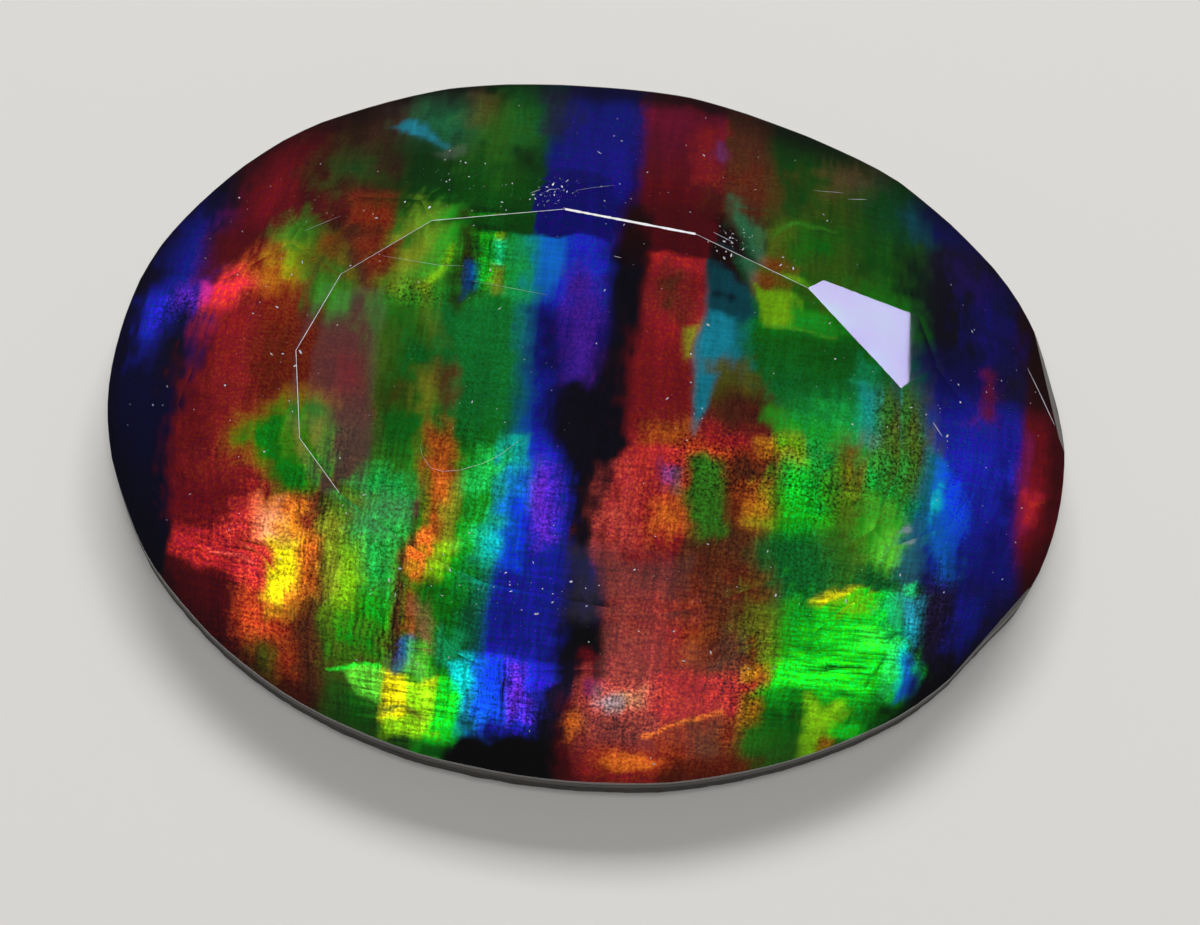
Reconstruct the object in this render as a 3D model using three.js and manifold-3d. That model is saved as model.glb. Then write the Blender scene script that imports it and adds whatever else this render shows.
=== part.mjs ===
// A faceted oval ammolite gem, lying on its base: a clear quartz cap with a cut crown, a thin sheet of
// iridescent ammonite shell under it, and a dark shale backing. Millimetres, X along the oval, Y across
// it, Z up, origin in the middle of the flat base.
import * as THREE from "three";
import { mergeVertices } from "three/addons/utils/BufferGeometryUtils.js";
import Module from "manifold-3d";

// The oval
const LENGTH = 20; // girdle, along X
const WIDTH = 15; // girdle, along Y
const OUTLINE_POINTS = 120;
const OUTLINE_CORNERS = 12; // the girdle is a soft-sided polygon, because the crown's facets reach it
const CORNER_RISE = 0.003; // how far its corners stand out from its flats, as a share of the radius

// Where the oval was ground a little full or a little flat: the angle along the oval and the width of the
// place, both in degrees, and how far it stands out there, as a share of the radius.
const OUTLINE_SWELLS = [
  { angle: 16, width: 5, rise: -0.006 },
  { angle: 31, width: 6, rise: 0.006 },
  { angle: 56, width: 5, rise: 0.005 },
  { angle: 72, width: 10, rise: -0.011 },
  { angle: 97, width: 13, rise: -0.015 },
  { angle: 133, width: 6, rise: 0.004 },
  { angle: 172, width: 9, rise: -0.005 },
  { angle: 212, width: 8, rise: 0.009 },
  { angle: 237, width: 18, rise: 0.014 },
  { angle: 331, width: 6, rise: -0.011 },
];

// The stack, from the base up
const BACKING_THICKNESS = 1.35;
const BEVEL_IN = 0.7; // the backing's lower edge is ground back by this much
const BEVEL_UP = 0.8;
const SHEET_THICKNESS = 0.4;
const GIRDLE_WALL = 0.15; // upright band at the foot of the cap
const CROWN_HEIGHT = 2.2;

const SHEET_FOOT = BACKING_THICKNESS;
const CAP_FOOT = SHEET_FOOT + SHEET_THICKNESS;
const GIRDLE = CAP_FOOT + GIRDLE_WALL;
const TABLE = GIRDLE + CROWN_HEIGHT;

// The facets round the table: turn is the way the facet faces, anticlockwise from +X, slope is how far it
// leans from level, both in degrees, and reach is the distance from the middle to its edge on the table.
// The cutting was done by hand, so the turns and reaches are uneven.
const TABLE_FACETS = [
  { turn: 5, slope: 25, reach: 6.35 },
  { turn: 48.5, slope: 20, reach: 4.95 },
  { turn: 61, slope: 31, reach: 4.71 }, // meets the table only at a corner
  { turn: 70.5, slope: 23, reach: 4.15 },
  { turn: 86, slope: 24, reach: 3.9 },
  { turn: 102.5, slope: 24, reach: 4.1 },
  { turn: 129, slope: 23, reach: 4.95 },
  { turn: 158, slope: 22, reach: 5.75 },
  { turn: 190, slope: 22, reach: 5.95 },
  { turn: 222.5, slope: 23, reach: 5.3 },
  { turn: 240, slope: 24, reach: 4.65 },
  { turn: 251, slope: 24, reach: 4.4 },
  { turn: 265.5, slope: 25, reach: 4.2 },
  { turn: 284.5, slope: 24, reach: 4.6 },
  { turn: 298, slope: 23, reach: 4.85 },
  { turn: 310, slope: 23, reach: 5.4 },
  { turn: 344, slope: 24, reach: 6.35 },
];
const GIRDLE_FACETS = 2 * OUTLINE_CORNERS; // one to each side of the outline and one to each corner
const GIRDLE_SLOPE = 36.5;
const SLOPE_DRIFT = 2.5; // the ones at +Y are cut this much flatter, and the ones at -Y this much steeper

// Two small knocks in the cap's edge, as steep flats: reach and height give each flat's upper edge.
const CHIPS = [
  { turn: 19, slope: 62, reach: 9.6, height: GIRDLE + 0.12 },
  { turn: 325, slope: 58, reach: 9.08, height: GIRDLE + 0.06 },
];

const degrees = THREE.MathUtils.degToRad;
const wasm = await Module();
wasm.setup();

// A three.js geometry as a manifold-3d solid, for cutting.
function solidOf(geometry) {
  const bare = geometry.clone();
  bare.deleteAttribute("normal");
  bare.deleteAttribute("uv");
  const merged = mergeVertices(bare, 1e-4);
  return new wasm.Manifold(
    new wasm.Mesh({
      numProp: 3,
      vertProperties: merged.attributes.position.array,
      triVerts: new Uint32Array(merged.index.array),
    }),
  );
}

// A cut solid back as a three.js geometry with a hard edge between its faces.
function geometryOf(solid) {
  const mesh = solid.getMesh();
  const shared = new THREE.BufferGeometry()
    .setAttribute("position", new THREE.BufferAttribute(mesh.vertProperties, 3))
    .setIndex(new THREE.BufferAttribute(mesh.triVerts, 1));
  const faceted = shared.toNonIndexed();
  faceted.computeVertexNormals();
  return faceted;
}

// A point of the girdle outline, at an angle along the oval. Each side of the soft polygon is flattest in
// its middle and stands out at its two corners.
function girdlePoint(angle) {
  const side = (2 * Math.PI) / OUTLINE_CORNERS;
  const fromMiddle = angle / side - Math.round(angle / side);
  let rise = CORNER_RISE * (4 * fromMiddle * fromMiddle - 0.5);
  for (const swell of OUTLINE_SWELLS) {
    const away = THREE.MathUtils.radToDeg(angle) - swell.angle;
    rise += swell.rise * Math.exp(-((away / swell.width) ** 2));
  }
  return new THREE.Vector2(
    (LENGTH / 2) * (1 + rise) * Math.cos(angle),
    (WIDTH / 2) * (1 + rise) * Math.sin(angle),
  );
}

// The whole outline, moved and scaled so that it measures exactly the length and width about the middle.
function girdleOutline() {
  const points = [];
  for (let i = 0; i < OUTLINE_POINTS; i += 1)
    points.push(girdlePoint((2 * Math.PI * i) / OUTLINE_POINTS));
  const box = new THREE.Box2().setFromPoints(points);
  const middle = box.getCenter(new THREE.Vector2());
  const size = box.getSize(new THREE.Vector2());
  for (const point of points)
    point.sub(middle).multiply(new THREE.Vector2(LENGTH / size.x, WIDTH / size.y));
  return points;
}

const outline = girdleOutline();
const oval = new THREE.Shape(outline);

// A plate with the girdle's outline, from one height to another.
function ovalPlate(foot, top) {
  const plate = new THREE.ExtrudeGeometry(oval, { depth: top - foot, bevelEnabled: false });
  return plate.translate(0, 0, foot);
}

// What a flat facet takes away: a large block whose lower face is the facet's plane, which passes through
// the given point and leans out by slope from level, towards turn.
function offcut(turn, slope, point) {
  const block = new THREE.BoxGeometry(2 * LENGTH, 2 * LENGTH, LENGTH);
  return block
    .translate(0, 0, LENGTH / 2)
    .rotateY(degrees(slope))
    .rotateZ(degrees(turn))
    .translate(point.x, point.y, point.z);
}

// The point at a distance from the middle in the direction of turn.
function pointAt(turn, reach, height) {
  return new THREE.Vector3(
    reach * Math.cos(degrees(turn)),
    reach * Math.sin(degrees(turn)),
    height,
  );
}

// One of the small facets round the girdle, touching the outline at its middle and facing squarely out.
function girdleOffcut(index) {
  const middle = (index * OUTLINE_POINTS) / GIRDLE_FACETS;
  const foot = outline[middle];
  const after = outline[(middle + 1) % OUTLINE_POINTS];
  const before = outline[(middle - 1 + OUTLINE_POINTS) % OUTLINE_POINTS];
  const turn = THREE.MathUtils.radToDeg(Math.atan2(before.x - after.x, after.y - before.y));
  const slope = GIRDLE_SLOPE - SLOPE_DRIFT * Math.sin(degrees(turn));
  return offcut(turn, slope, new THREE.Vector3(foot.x, foot.y, GIRDLE));
}

// Clear quartz cap: a blank as high as the table, with every facet cut off it.
function crystalCap() {
  let cap = solidOf(ovalPlate(CAP_FOOT, TABLE));
  for (const { turn, slope, reach } of TABLE_FACETS)
    cap = cap.subtract(solidOf(offcut(turn, slope, pointAt(turn, reach, TABLE))));
  for (let i = 0; i < GIRDLE_FACETS; i += 1) cap = cap.subtract(solidOf(girdleOffcut(i)));
  for (const { turn, slope, reach, height } of CHIPS)
    cap = cap.subtract(solidOf(offcut(turn, slope, pointAt(turn, reach, height))));
  const mesh = new THREE.Mesh(
    geometryOf(cap),
    new THREE.MeshPhysicalMaterial({ color: 0xffffff, roughness: 0.02, transmission: 1, ior: 1.54 }),
  );
  mesh.name = "crystal_cap";
  return mesh;
}

// Sheet of ammonite shell, glued under the cap.
function ammoliteSheet() {
  const mesh = new THREE.Mesh(
    ovalPlate(SHEET_FOOT, CAP_FOOT),
    new THREE.MeshStandardMaterial({ color: 0x2f7a35, roughness: 0.35, metalness: 0.2 }),
  );
  mesh.name = "ammolite_sheet";
  return mesh;
}

// Dark shale backing: upright wall above, lower edge ground back, flat base. The extrusion is bevelled at
// both ends, and everything above the wall is cut off.
function shaleBacking() {
  const bevelled = new THREE.ExtrudeGeometry(oval, {
    depth: BACKING_THICKNESS,
    bevelThickness: BEVEL_UP,
    bevelSize: BEVEL_IN,
    bevelOffset: -BEVEL_IN,
    bevelSegments: 1,
  }).translate(0, 0, BEVEL_UP);
  const above = offcut(0, 0, new THREE.Vector3(0, 0, BACKING_THICKNESS));
  const mesh = new THREE.Mesh(
    geometryOf(solidOf(bevelled).subtract(solidOf(above))),
    new THREE.MeshStandardMaterial({ color: 0x1b1917, roughness: 0.75, metalness: 0 }),
  );
  mesh.name = "shale_backing";
  return mesh;
}

const specimen = new THREE.Group();
specimen.name = "ammolite_specimen";
specimen.add(crystalCap(), ammoliteSheet(), shaleBacking());

export default specimen;
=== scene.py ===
"""A faceted oval ammolite gem: shale backing, a sheet of ammonite shell and a clear quartz crown."""

import math

import bmesh
import bpy
import numpy as np
from mathutils import Matrix, Quaternion, Vector
from mathutils.bvhtree import BVHTree


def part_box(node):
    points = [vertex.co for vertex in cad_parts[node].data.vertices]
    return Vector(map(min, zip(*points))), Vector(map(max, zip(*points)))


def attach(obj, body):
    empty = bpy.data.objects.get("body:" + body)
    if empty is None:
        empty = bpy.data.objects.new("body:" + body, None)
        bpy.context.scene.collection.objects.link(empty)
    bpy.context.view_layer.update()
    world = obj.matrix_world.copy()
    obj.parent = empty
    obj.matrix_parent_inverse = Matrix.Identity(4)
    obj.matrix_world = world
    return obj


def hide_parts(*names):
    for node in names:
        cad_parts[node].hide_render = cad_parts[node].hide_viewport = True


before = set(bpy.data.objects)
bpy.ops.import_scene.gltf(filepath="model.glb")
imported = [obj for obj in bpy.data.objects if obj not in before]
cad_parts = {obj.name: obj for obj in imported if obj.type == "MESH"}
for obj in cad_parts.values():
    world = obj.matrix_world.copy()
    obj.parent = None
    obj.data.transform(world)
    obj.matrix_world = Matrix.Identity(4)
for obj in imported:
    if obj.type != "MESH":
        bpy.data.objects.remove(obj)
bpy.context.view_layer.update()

# Shale backing
# The dark rock that the shell grew against, kept as a plate under it so that the thin shell doesn't crack.
# It is sawn flat, its lower edge is ground back by hand, and it is left matte.

MM = 0.001
BACKING_COLOUR = "#17130F"  # damp-looking brown black
BACKING_DUST = "#4A4138"  # the paler brown of rock flour in the saw marks
GROUND_IN = 0.70  # mm, how far the lower edge is ground back
GROUND_UP = 0.80  # mm, how high the grinding reaches
BASE_RING = 0.25  # mm, the flat ring between the ground edge and the middle of the base
SLOPE_ROWS, WALL_ROWS = 12, 8  # rows of faces up the ground edge and up the wall
ROUND_STEPS = 480  # points round the oval
ROCK_RELIEF = 0.018  # mm, the depth of the pits that sawing leaves
PIT_WIDE, PIT_HIGH, PIT_FINE = 0.35, 0.28, 0.12  # mm, the sizes of the wide pits and the fine ones
SAW_PITCH = 0.11  # mm between saw marks
STREAKS_TO_A_MM = 0.3  # how often a saw mark changes along its length
PITS_TO_A_MM = 9.0


def linear(hex_colour):
    """An sRGB hex colour as linear red, green, blue and 1."""
    parts = [int(hex_colour[i:i + 2], 16) / 255 for i in (1, 3, 5)]
    return (*[c / 12.92 if c < 0.04045 else ((c + 0.055) / 1.055) ** 2.4 for c in parts], 1.0)


def eased(share):
    """A share held between 0 and 1, with soft ends."""
    share = np.clip(share, 0, 1)
    return share * share * (3 - 2 * share)


def cloud(x, y, wide, high, seed):
    """Smooth noise from -1 to 1, in blotches of the given width and height."""
    lattice = np.random.default_rng(seed).uniform(-1, 1, (256, 256))
    u, v = x / wide + 100.0, y / high + 100.0
    i, j = np.floor(u).astype(int), np.floor(v).astype(int)
    s, t = eased(u - i), eased(v - j)
    low = lattice[j % 256, i % 256] * (1 - s) + lattice[j % 256, (i + 1) % 256] * s
    top = lattice[(j + 1) % 256, i % 256] * (1 - s) + lattice[(j + 1) % 256, (i + 1) % 256] * s
    return low * (1 - t) + top * t


def add_node(tree, kind, feeds=None, **settings):
    """A node with its settings. Each feed is an input's name or number, and a value or another output."""
    made = tree.nodes.new(kind)
    for name, value in settings.items():
        setattr(made, name, value)
    for key, value in (feeds or {}).items():
        if isinstance(value, bpy.types.NodeSocket):
            tree.links.new(value, made.inputs[key])
        else:
            made.inputs[key].default_value = value
    return made


def new_material(name):
    """An empty node material, with its output node."""
    material = bpy.data.materials.new(name)
    material.use_nodes = True
    material.node_tree.nodes.clear()
    return material, material.node_tree, add_node(material.node_tree, "ShaderNodeOutputMaterial")


def new_piece(name, vertices_mm, faces, materials):
    """A mesh piece in the scene, its vertices given in millimetres."""
    mesh = bpy.data.meshes.new(name)
    mesh.from_pydata((np.asarray(vertices_mm) * MM).tolist(), [], faces)
    for material in materials:
        mesh.materials.append(material)
    piece = bpy.data.objects.new(name, mesh)
    bpy.context.scene.collection.objects.link(piece)
    return piece


def oval_of(node, steps):
    """The oval outline of a CAD plate, in millimetres, anticlockwise from +X."""
    points = np.array([v.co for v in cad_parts[node].data.vertices]) / MM
    rim = np.unique(np.round(points[points[:, 2] > points[:, 2].max() - 0.01, :2], 4), axis=0)
    angles = np.arctan2(rim[:, 1], rim[:, 0])
    order = np.argsort(angles)
    rim, angles = rim[order], angles[order]
    wanted = np.linspace(-np.pi, np.pi, steps, endpoint=False)
    reach = np.interp(wanted, angles, np.hypot(rim[:, 0], rim[:, 1]), period=2 * np.pi)
    return np.c_[reach * np.cos(wanted), reach * np.sin(wanted)]


def outward_of(outline):
    """The unit normals of an anticlockwise outline."""
    ahead = np.roll(outline, -1, axis=0) - np.roll(outline, 1, axis=0)
    across = np.c_[ahead[:, 1], -ahead[:, 0]]
    return across / np.linalg.norm(across, axis=1)[:, None]


def ring_faces(rows, steps):
    """Quads between rows of points that each go round the oval once."""
    return [
        (r * steps + i, r * steps + (i + 1) % steps, (r + 1) * steps + (i + 1) % steps, (r + 1) * steps + i)
        for r in range(rows - 1)
        for i in range(steps)
    ]


shale_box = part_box("shale_backing")
backing_top = shale_box[1].z / MM
outline = oval_of("ammolite_sheet", ROUND_STEPS)
outward = outward_of(outline)
profile = [(GROUND_IN + BASE_RING, 0.0), (GROUND_IN, 0.0)]
profile += [(GROUND_IN * (1 - k / SLOPE_ROWS), GROUND_UP * k / SLOPE_ROWS) for k in range(1, SLOPE_ROWS + 1)]
profile += [(0.0, GROUND_UP + (backing_top - GROUND_UP) * k / WALL_ROWS) for k in range(1, WALL_ROWS + 1)]
rows = []
for row, (inset, height) in enumerate(profile):
    pits = cloud(outline[:, 0] + height, outline[:, 1] + height, PIT_WIDE, PIT_HIGH, 21)
    pits = 0.6 * pits + 0.4 * cloud(outline[:, 0] - height, outline[:, 1], PIT_FINE, PIT_FINE, 22 + row)
    pitted = 0 < row < len(profile) - 1  # the first and the last row bound flat faces
    ring = outline - outward * (inset + pitted * ROCK_RELIEF * (1 + pits))[:, None]
    rows.append(np.c_[ring, np.full(ROUND_STEPS, height)])
faces = ring_faces(len(rows), ROUND_STEPS)
last = (len(rows) - 1) * ROUND_STEPS
faces.append(tuple(reversed(range(ROUND_STEPS))))
faces.append(tuple(range(last, last + ROUND_STEPS)))

# Shale, sawn and ground: a fine dull brown black, with paler rock flour in its saw marks and pits.
shale, tree, output = new_material("ground_shale")
place = add_node(tree, "ShaderNodeTexCoord").outputs["Object"]
to_mm = {0: place, 1: (1 / MM,) * 3}
in_mm = add_node(tree, "ShaderNodeVectorMath", to_mm, operation="MULTIPLY").outputs[0]
to_marks = {0: in_mm, 1: (STREAKS_TO_A_MM, STREAKS_TO_A_MM, 1 / SAW_PITCH)}
layers = add_node(tree, "ShaderNodeVectorMath", to_marks, operation="MULTIPLY")
bedding = add_node(tree, "ShaderNodeTexNoise", {"Vector": layers.outputs[0], "Scale": 1.0, "Detail": 4.0})
pitting = add_node(tree, "ShaderNodeTexNoise",
                   {"Vector": in_mm, "Scale": PITS_TO_A_MM, "Detail": 6.0, "Roughness": 0.65})
flour = add_node(tree, "ShaderNodeMapRange",
                 {"Value": pitting.outputs["Fac"], "From Min": 0.48, "From Max": 0.74, "To Max": 0.8})
streaks = add_node(tree, "ShaderNodeMath", {0: flour.outputs[0], 1: bedding.outputs["Fac"]},
                   operation="MULTIPLY")
rock = add_node(tree, "ShaderNodeMix",
                {0: streaks.outputs[0], 6: linear(BACKING_COLOUR), 7: linear(BACKING_DUST)},
                data_type="RGBA")
relief = add_node(tree, "ShaderNodeMath", {0: pitting.outputs["Fac"], 1: bedding.outputs["Fac"]},
                  operation="ADD")
bump = add_node(tree, "ShaderNodeBump", {"Strength": 0.6, "Distance": 0.02 * MM, "Height": relief.outputs[0]})
surface = add_node(tree, "ShaderNodeBsdfPrincipled",
                   {"Base Color": rock.outputs[2], "Roughness": 0.72, "IOR": 1.5, "Normal": bump.outputs[0]})
tree.links.new(surface.outputs[0], output.inputs[0])

backing = new_piece("shale_plate", np.concatenate(rows), faces, [shale])
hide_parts("shale_backing")
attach(backing, "root")

# Ammolite sheet
# A sheet of ammonite shell, aragonite in films so thin and even that each thickness throws back one colour.
# It is split from the fossil with its rock, ground thin, and glued under the crown while wet with resin.

SHEET_LIFT = 0.012  # mm, the glue joins the shell to the quartz, so the sheet's face stands just inside it
SHEET_EDGE = 0.03  # mm, how far the face stops inside the outline
LEDGES = [(0.004, 0.006), (0.13, 0), (0.26, 0.012)]  # mm under the face and mm in, where layers broke back
FOOT_IN = 0.004  # mm in, at the sheet's foot
GRID = 270  # cells across the sheet's face
GROWTH_PITCH = 0.12  # mm between growth lines
NOISE_REPEAT = 1.5  # a noise's streaks are about so many of its cells apart
RIM_SHADE_LIGHT = 0.5  # painted shade: the share of its light that the shell keeps at its rim
RIM_SHADE_WIDTH = 0.9  # mm, how far in from the rim the painted shade reaches
BRIGHTEST = 1.2  # of a channel of the film's colour
GLINTS_TO_A_MM = 17.0
BENDS_TO_A_MM, BEND_BY = 1.6, (0.2, 0.1, 0)  # the lines wander this often, and by this many mm
SILKY, LINED, GRAINY = 0.16, 1.1, 1.0  # how much of the light each pattern can add or take
# the glow is painted light: the shell gives off light of its own colour, though it is no lamp
PIGMENT, PAINTED_GLOW = 0.45, 0.45  # the shares of the film's colour that are lit and that glow
DULLEST = 0.06  # the least light that the texture leaves
EDGE_DARK, EDGE_PALE = "#17110D", "#44392E"
LAYERS_TO_A_MM, WAVES_TO_A_MM = 16, 1.5  # in the cut edge: its layers, and their wavering along it

# The colours that the films throw back, at full strength, and the browns where they are dull or mixed. White
# and frost are the pale colours of painted glints.
SHADES = {
    "wine": "#FF1E42", "garnet": "#FF2C3A", "red": "#FF3636", "brick": "#FF5A50", "rust": "#FF5526",
    "umber": "#FF8A4E", "bark": "#FFA878", "orange": "#FF7824", "amber": "#FFAA1E", "yellow": "#FFF00A",
    "olive": "#EBFF3C", "lime": "#AAFF14", "moss": "#78FF3C", "leaf": "#28FF2D", "green": "#0AFF14",
    "fern": "#28FF64", "sea": "#1EFF96", "cyan": "#0AFFFA", "teal": "#23DCFF", "azure": "#0F82FF",
    "cobalt": "#0A50FF", "blue": "#1E32FF", "indigo": "#2018FF", "violet": "#7832FF", "lilac": "#D778FF",
    "magenta": "#FF32AA", "plum": "#E61E64", "night": "#966EFF", "glint_white": "#FFE6F0", "frost": "#D2F0FF",
}

# The growth bands, from the left end. Each has how softly it starts, the height and place of points on its
# left edge, and its shade and light at a few heights. All are in mm, and light is in display steps to 1.
# In several bands the light drops just above 3.8 mm, beyond the table's far edge: that drop is painted shade.
BANDS = [
    (None, None,
     [(5, "night", 0.1), (2, "night", 0.12), (0, "indigo", 0.18), (-2, "indigo", 0.12),
      (-5, "night", 0.06)]),
    (0.2, [(5, -7.4), (4, -7.6), (3, -8.1), (2.2, -8.15), (1.3, -7.78), (0.7, -7.62), (-0.3, -7.95),
           (-1, -8.25), (-2, -8.15), (-3, -8.1), (-5, -8)],
     [(6.5, "wine", 0.16), (5, "wine", 0.26), (4, "garnet", 0.33), (3, "wine", 0.3), (2, "garnet", 0.36),
      (1, "garnet", 0.46), (0, "garnet", 0.4), (-1, "garnet", 0.38), (-2.5, "garnet", 0.4),
      (-3.6, "garnet", 0.36), (-4.2, "wine", 0.29), (-6, "wine", 0.22)]),
    (0.6, [(6, -6.2), (4, -6.3), (2, -6.8), (0, -7), (-2, -6.6), (-5, -6.4)],
     [(6.5, "umber", 0.15), (5, "wine", 0.18), (4, "wine", 0.22), (3, "umber", 0.26), (2, "rust", 0.5),
      (1, "rust", 0.38), (0, "rust", 0.34), (-1, "garnet", 0.45), (-2, "garnet", 0.5), (-4, "red", 0.45),
      (-5, "rust", 0.45), (-6, "rust", 0.27)]),
    (0.4, [(6, -5.9), (1, -5.9), (-1, -5.4), (-2, -5.3), (-6, -5.1)],
     [(6.5, "umber", 0.14), (5, "bark", 0.18), (4, "umber", 0.22), (3.2, "umber", 0.24),
      (2, "bark", 0.26), (1, "brick", 0.3), (0, "brick", 0.31), (-1, "bark", 0.28), (-2.1, "umber", 0.26),
      (-4, "umber", 0.3), (-6, "umber", 0.22)]),
    (0.4, [(6.5, -4.6), (5, -4.35), (4, -4.3), (3, -4.35), (2.4, -4.5), (2, -4.75), (1, -4.5), (0, -4.4),
           (-1, -4.3), (-1.5, -4.4), (-2, -4.9), (-4, -4.7), (-6, -4.8)],
     [(6.8, "moss", 0.12), (6, "sea", 0.2), (5, "leaf", 0.2), (4, "leaf", 0.25), (3, "moss", 0.5),
      (2, "leaf", 0.4), (1, "fern", 0.36), (0, "leaf", 0.33), (-1, "leaf", 0.33), (-2, "moss", 0.45),
      (-3, "moss", 0.45), (-4.3, "olive", 0.35), (-5.3, "olive", 0.28), (-6, "moss", 0.3)]),
    (0.5, [(7, -3), (4, -3), (1, -3.6), (0, -3.3), (-3, -3.4), (-5, -3.2), (-7, -2.6)],
     [(7, "leaf", 0.2), (6, "moss", 0.3), (5, "leaf", 0.26), (4, "leaf", 0.26), (3, "leaf", 0.5),
      (2, "fern", 0.38), (0, "fern", 0.37), (-0.8, "leaf", 0.34), (-1.3, "leaf", 0.5),
      (-2.2, "leaf", 0.52), (-3.2, "green", 0.55), (-4, "green", 0.36), (-4.9, "green", 0.36),
      (-6.5, "green", 0.8)]),
    (0.35, [(7, -1.75), (5, -1.65), (3.9, -1.75), (2, -1.7), (0, -1.5), (-2, -1.6), (-3, -1.75),
           (-5, -1.9), (-7, -1.75)],
     [(7, "teal", 0.2), (5, "fern", 0.2), (3.9, "fern", 0.24), (3.8, "azure", 0.75), (2.7, "teal", 0.45),
      (1, "teal", 0.4), (0, "azure", 0.45), (-1, "azure", 0.65), (-3, "teal", 0.6), (-3.6, "teal", 0.35),
      (-4.8, "teal", 0.35), (-5.1, "azure", 0.9), (-6.6, "azure", 0.9)]),
    (0.3, [(7, -1.3), (5, -1.4), (3.9, -1), (3, -1.05), (2.4, -1.45), (1, -1.35), (0, -1.2), (-1, -1.25),
           (-2, -1.4), (-3, -1.4), (-4, -1.6), (-5, -1.5), (-6, -1.1), (-7, -1.2)],
     [(7.2, "indigo", 0.25), (6.8, "blue", 0.42), (5, "indigo", 0.45), (4.2, "indigo", 0.36),
      (3.75, "blue", 0.68), (2.6, "blue", 0.65), (2, "indigo", 0.45), (0.8, "blue", 0.5),
      (-0.3, "blue", 0.5), (-1, "blue", 0.72), (-2.4, "blue", 0.75), (-3, "blue", 0.52),
      (-3.6, "blue", 0.5), (-4.8, "blue", 0.52), (-5.1, "blue", 0.97), (-6.2, "blue", 0.85),
      (-6.5, "blue", 0.6), (-6.75, "night", 0.04)]),
    (0.42, [(7.2, 0.45), (5, 0.4), (4.4, 0.3), (3.9, 0.05), (2, 0.02), (1, -0.05), (0.75, -0.45),
           (0.55, -0.85), (0, -0.9), (-0.5, -0.8), (-0.8, -0.6), (-1.3, -0.38), (-2, -0.3), (-2.7, -0.15),
           (-4.3, -0.05), (-4.6, -0.2), (-5, -0.15), (-5.5, -0.4), (-7, -0.55)],
     [(7, "wine", 0.2), (4.6, "wine", 0.15), (3.9, "wine", 0.11), (3.4, "night", 0.08),
      (-2.6, "night", 0.08), (-3.2, "indigo", 0.25), (-3.8, "night", 0.15), (-4.2, "night", 0.06),
      (-4.9, "night", 0.1), (-5.6, "night", 0.16), (-6.3, "night", 0.08), (-7, "night", 0.02)]),
    (0.25, [(7, 0.45), (5, 0.5), (4.4, 0.5), (3.9, 0.9), (2, 0.9), (1.4, 0.75), (0, 0.75), (-0.5, 0.95),
           (-1, 0.7), (-1.6, 0.52), (-2.5, 0.55), (-3, 0.6), (-3.8, 0.85), (-4.6, 0.85), (-4.9, 0.5),
           (-6, 0.3), (-7, 0.4)],
     [(7.2, "plum", 0.2), (6.85, "plum", 0.4), (6.2, "plum", 0.36), (5, "wine", 0.32),
      (4.4, "wine", 0.28), (3.9, "wine", 0.2), (3.75, "garnet", 0.58), (3.2, "garnet", 0.42),
      (2.2, "garnet", 0.52), (1, "garnet", 0.42), (0.1, "garnet", 0.4), (-0.5, "red", 0.6),
      (-1.2, "red", 0.6), (-2.2, "red", 0.55), (-2.7, "garnet", 0.42), (-3.1, "brick", 0.38),
      (-3.9, "brick", 0.5), (-5.4, "brick", 0.6), (-6.5, "brick", 0.5), (-7, "red", 0.5)]),
    (0.15, [(7, 2.12), (4.7, 2.12), (2.5, 2.08), (0.5, 2.1), (-0.6, 2.1), (-2, 2.4), (-2.8, 2.2),
           (-4, 2.1), (-7, 2.2)],
     [(7, "umber", 0.22), (5, "umber", 0.33), (4.3, "umber", 0.2), (3.6, "wine", 0.11),
      (3.1, "teal", 0.3), (1.6, "teal", 0.5), (1, "umber", 0.3), (0.3, "garnet", 0.35),
      (-0.4, "rust", 0.5), (-1, "rust", 0.35), (-2.4, "umber", 0.28), (-3.4, "rust", 0.36),
      (-4.4, "rust", 0.45), (-4.7, "red", 0.65), (-5.4, "red", 0.6), (-6.2, "rust", 0.5),
      (-7, "rust", 0.35)]),
    (0.4, [(7, 3.1), (3.3, 3.1), (2.5, 2.98), (1.5, 3.02), (1, 3.25), (0.7, 3.8), (0.2, 4), (-1, 4),
           (-2, 3.9), (-4, 4.1), (-4.6, 4.2), (-5.2, 3.7), (-7, 3.9)],
     [(6.8, "moss", 0.14), (6, "leaf", 0.22), (5, "leaf", 0.25), (4, "moss", 0.28), (3.6, "moss", 0.3),
      (2.6, "green", 0.4), (2.2, "leaf", 0.32), (1.2, "fern", 0.33), (0.7, "fern", 0.42),
      (0.3, "fern", 0.5), (-1.6, "green", 0.5), (-2.2, "fern", 0.33), (-3, "fern", 0.35),
      (-3.8, "green", 0.6), (-4.4, "green", 0.9), (-4.9, "green", 0.6), (-5.4, "green", 0.35),
      (-6.4, "moss", 0.35)]),
    (0.5, [(6, 6.4), (5.2, 6.2), (4.5, 6.3), (3, 6.2), (1.5, 6.35), (0, 6.85), (-1.3, 6.65), (-2, 6.4),
           (-2.6, 6.9), (-3.5, 7), (-4.3, 7.2), (-5, 6.9), (-6, 6.6)],
     [(6, "indigo", 0.22), (5, "blue", 0.32), (4.6, "night", 0.13), (2.4, "night", 0.09),
      (1.7, "indigo", 0.28), (1, "blue", 0.5), (0, "blue", 0.65), (-1, "blue", 0.55), (-2, "blue", 0.4),
      (-2.6, "night", 0.18), (-4, "night", 0.09), (-5, "night", 0.03)]),
    (0.3, [(4, 8.6), (3, 8.6), (2, 8.75), (1.3, 8.75), (0, 8.8), (-1, 8.85), (-2, 9.1), (-3, 9.4)],
     [(4, "wine", 0.12), (2, "wine", 0.14), (1.5, "wine", 0.17), (1, "wine", 0.36), (0, "wine", 0.46),
      (-0.7, "wine", 0.5), (-1.3, "wine", 0.36), (-2, "wine", 0.22), (-3, "wine", 0.08)]),
]
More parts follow.
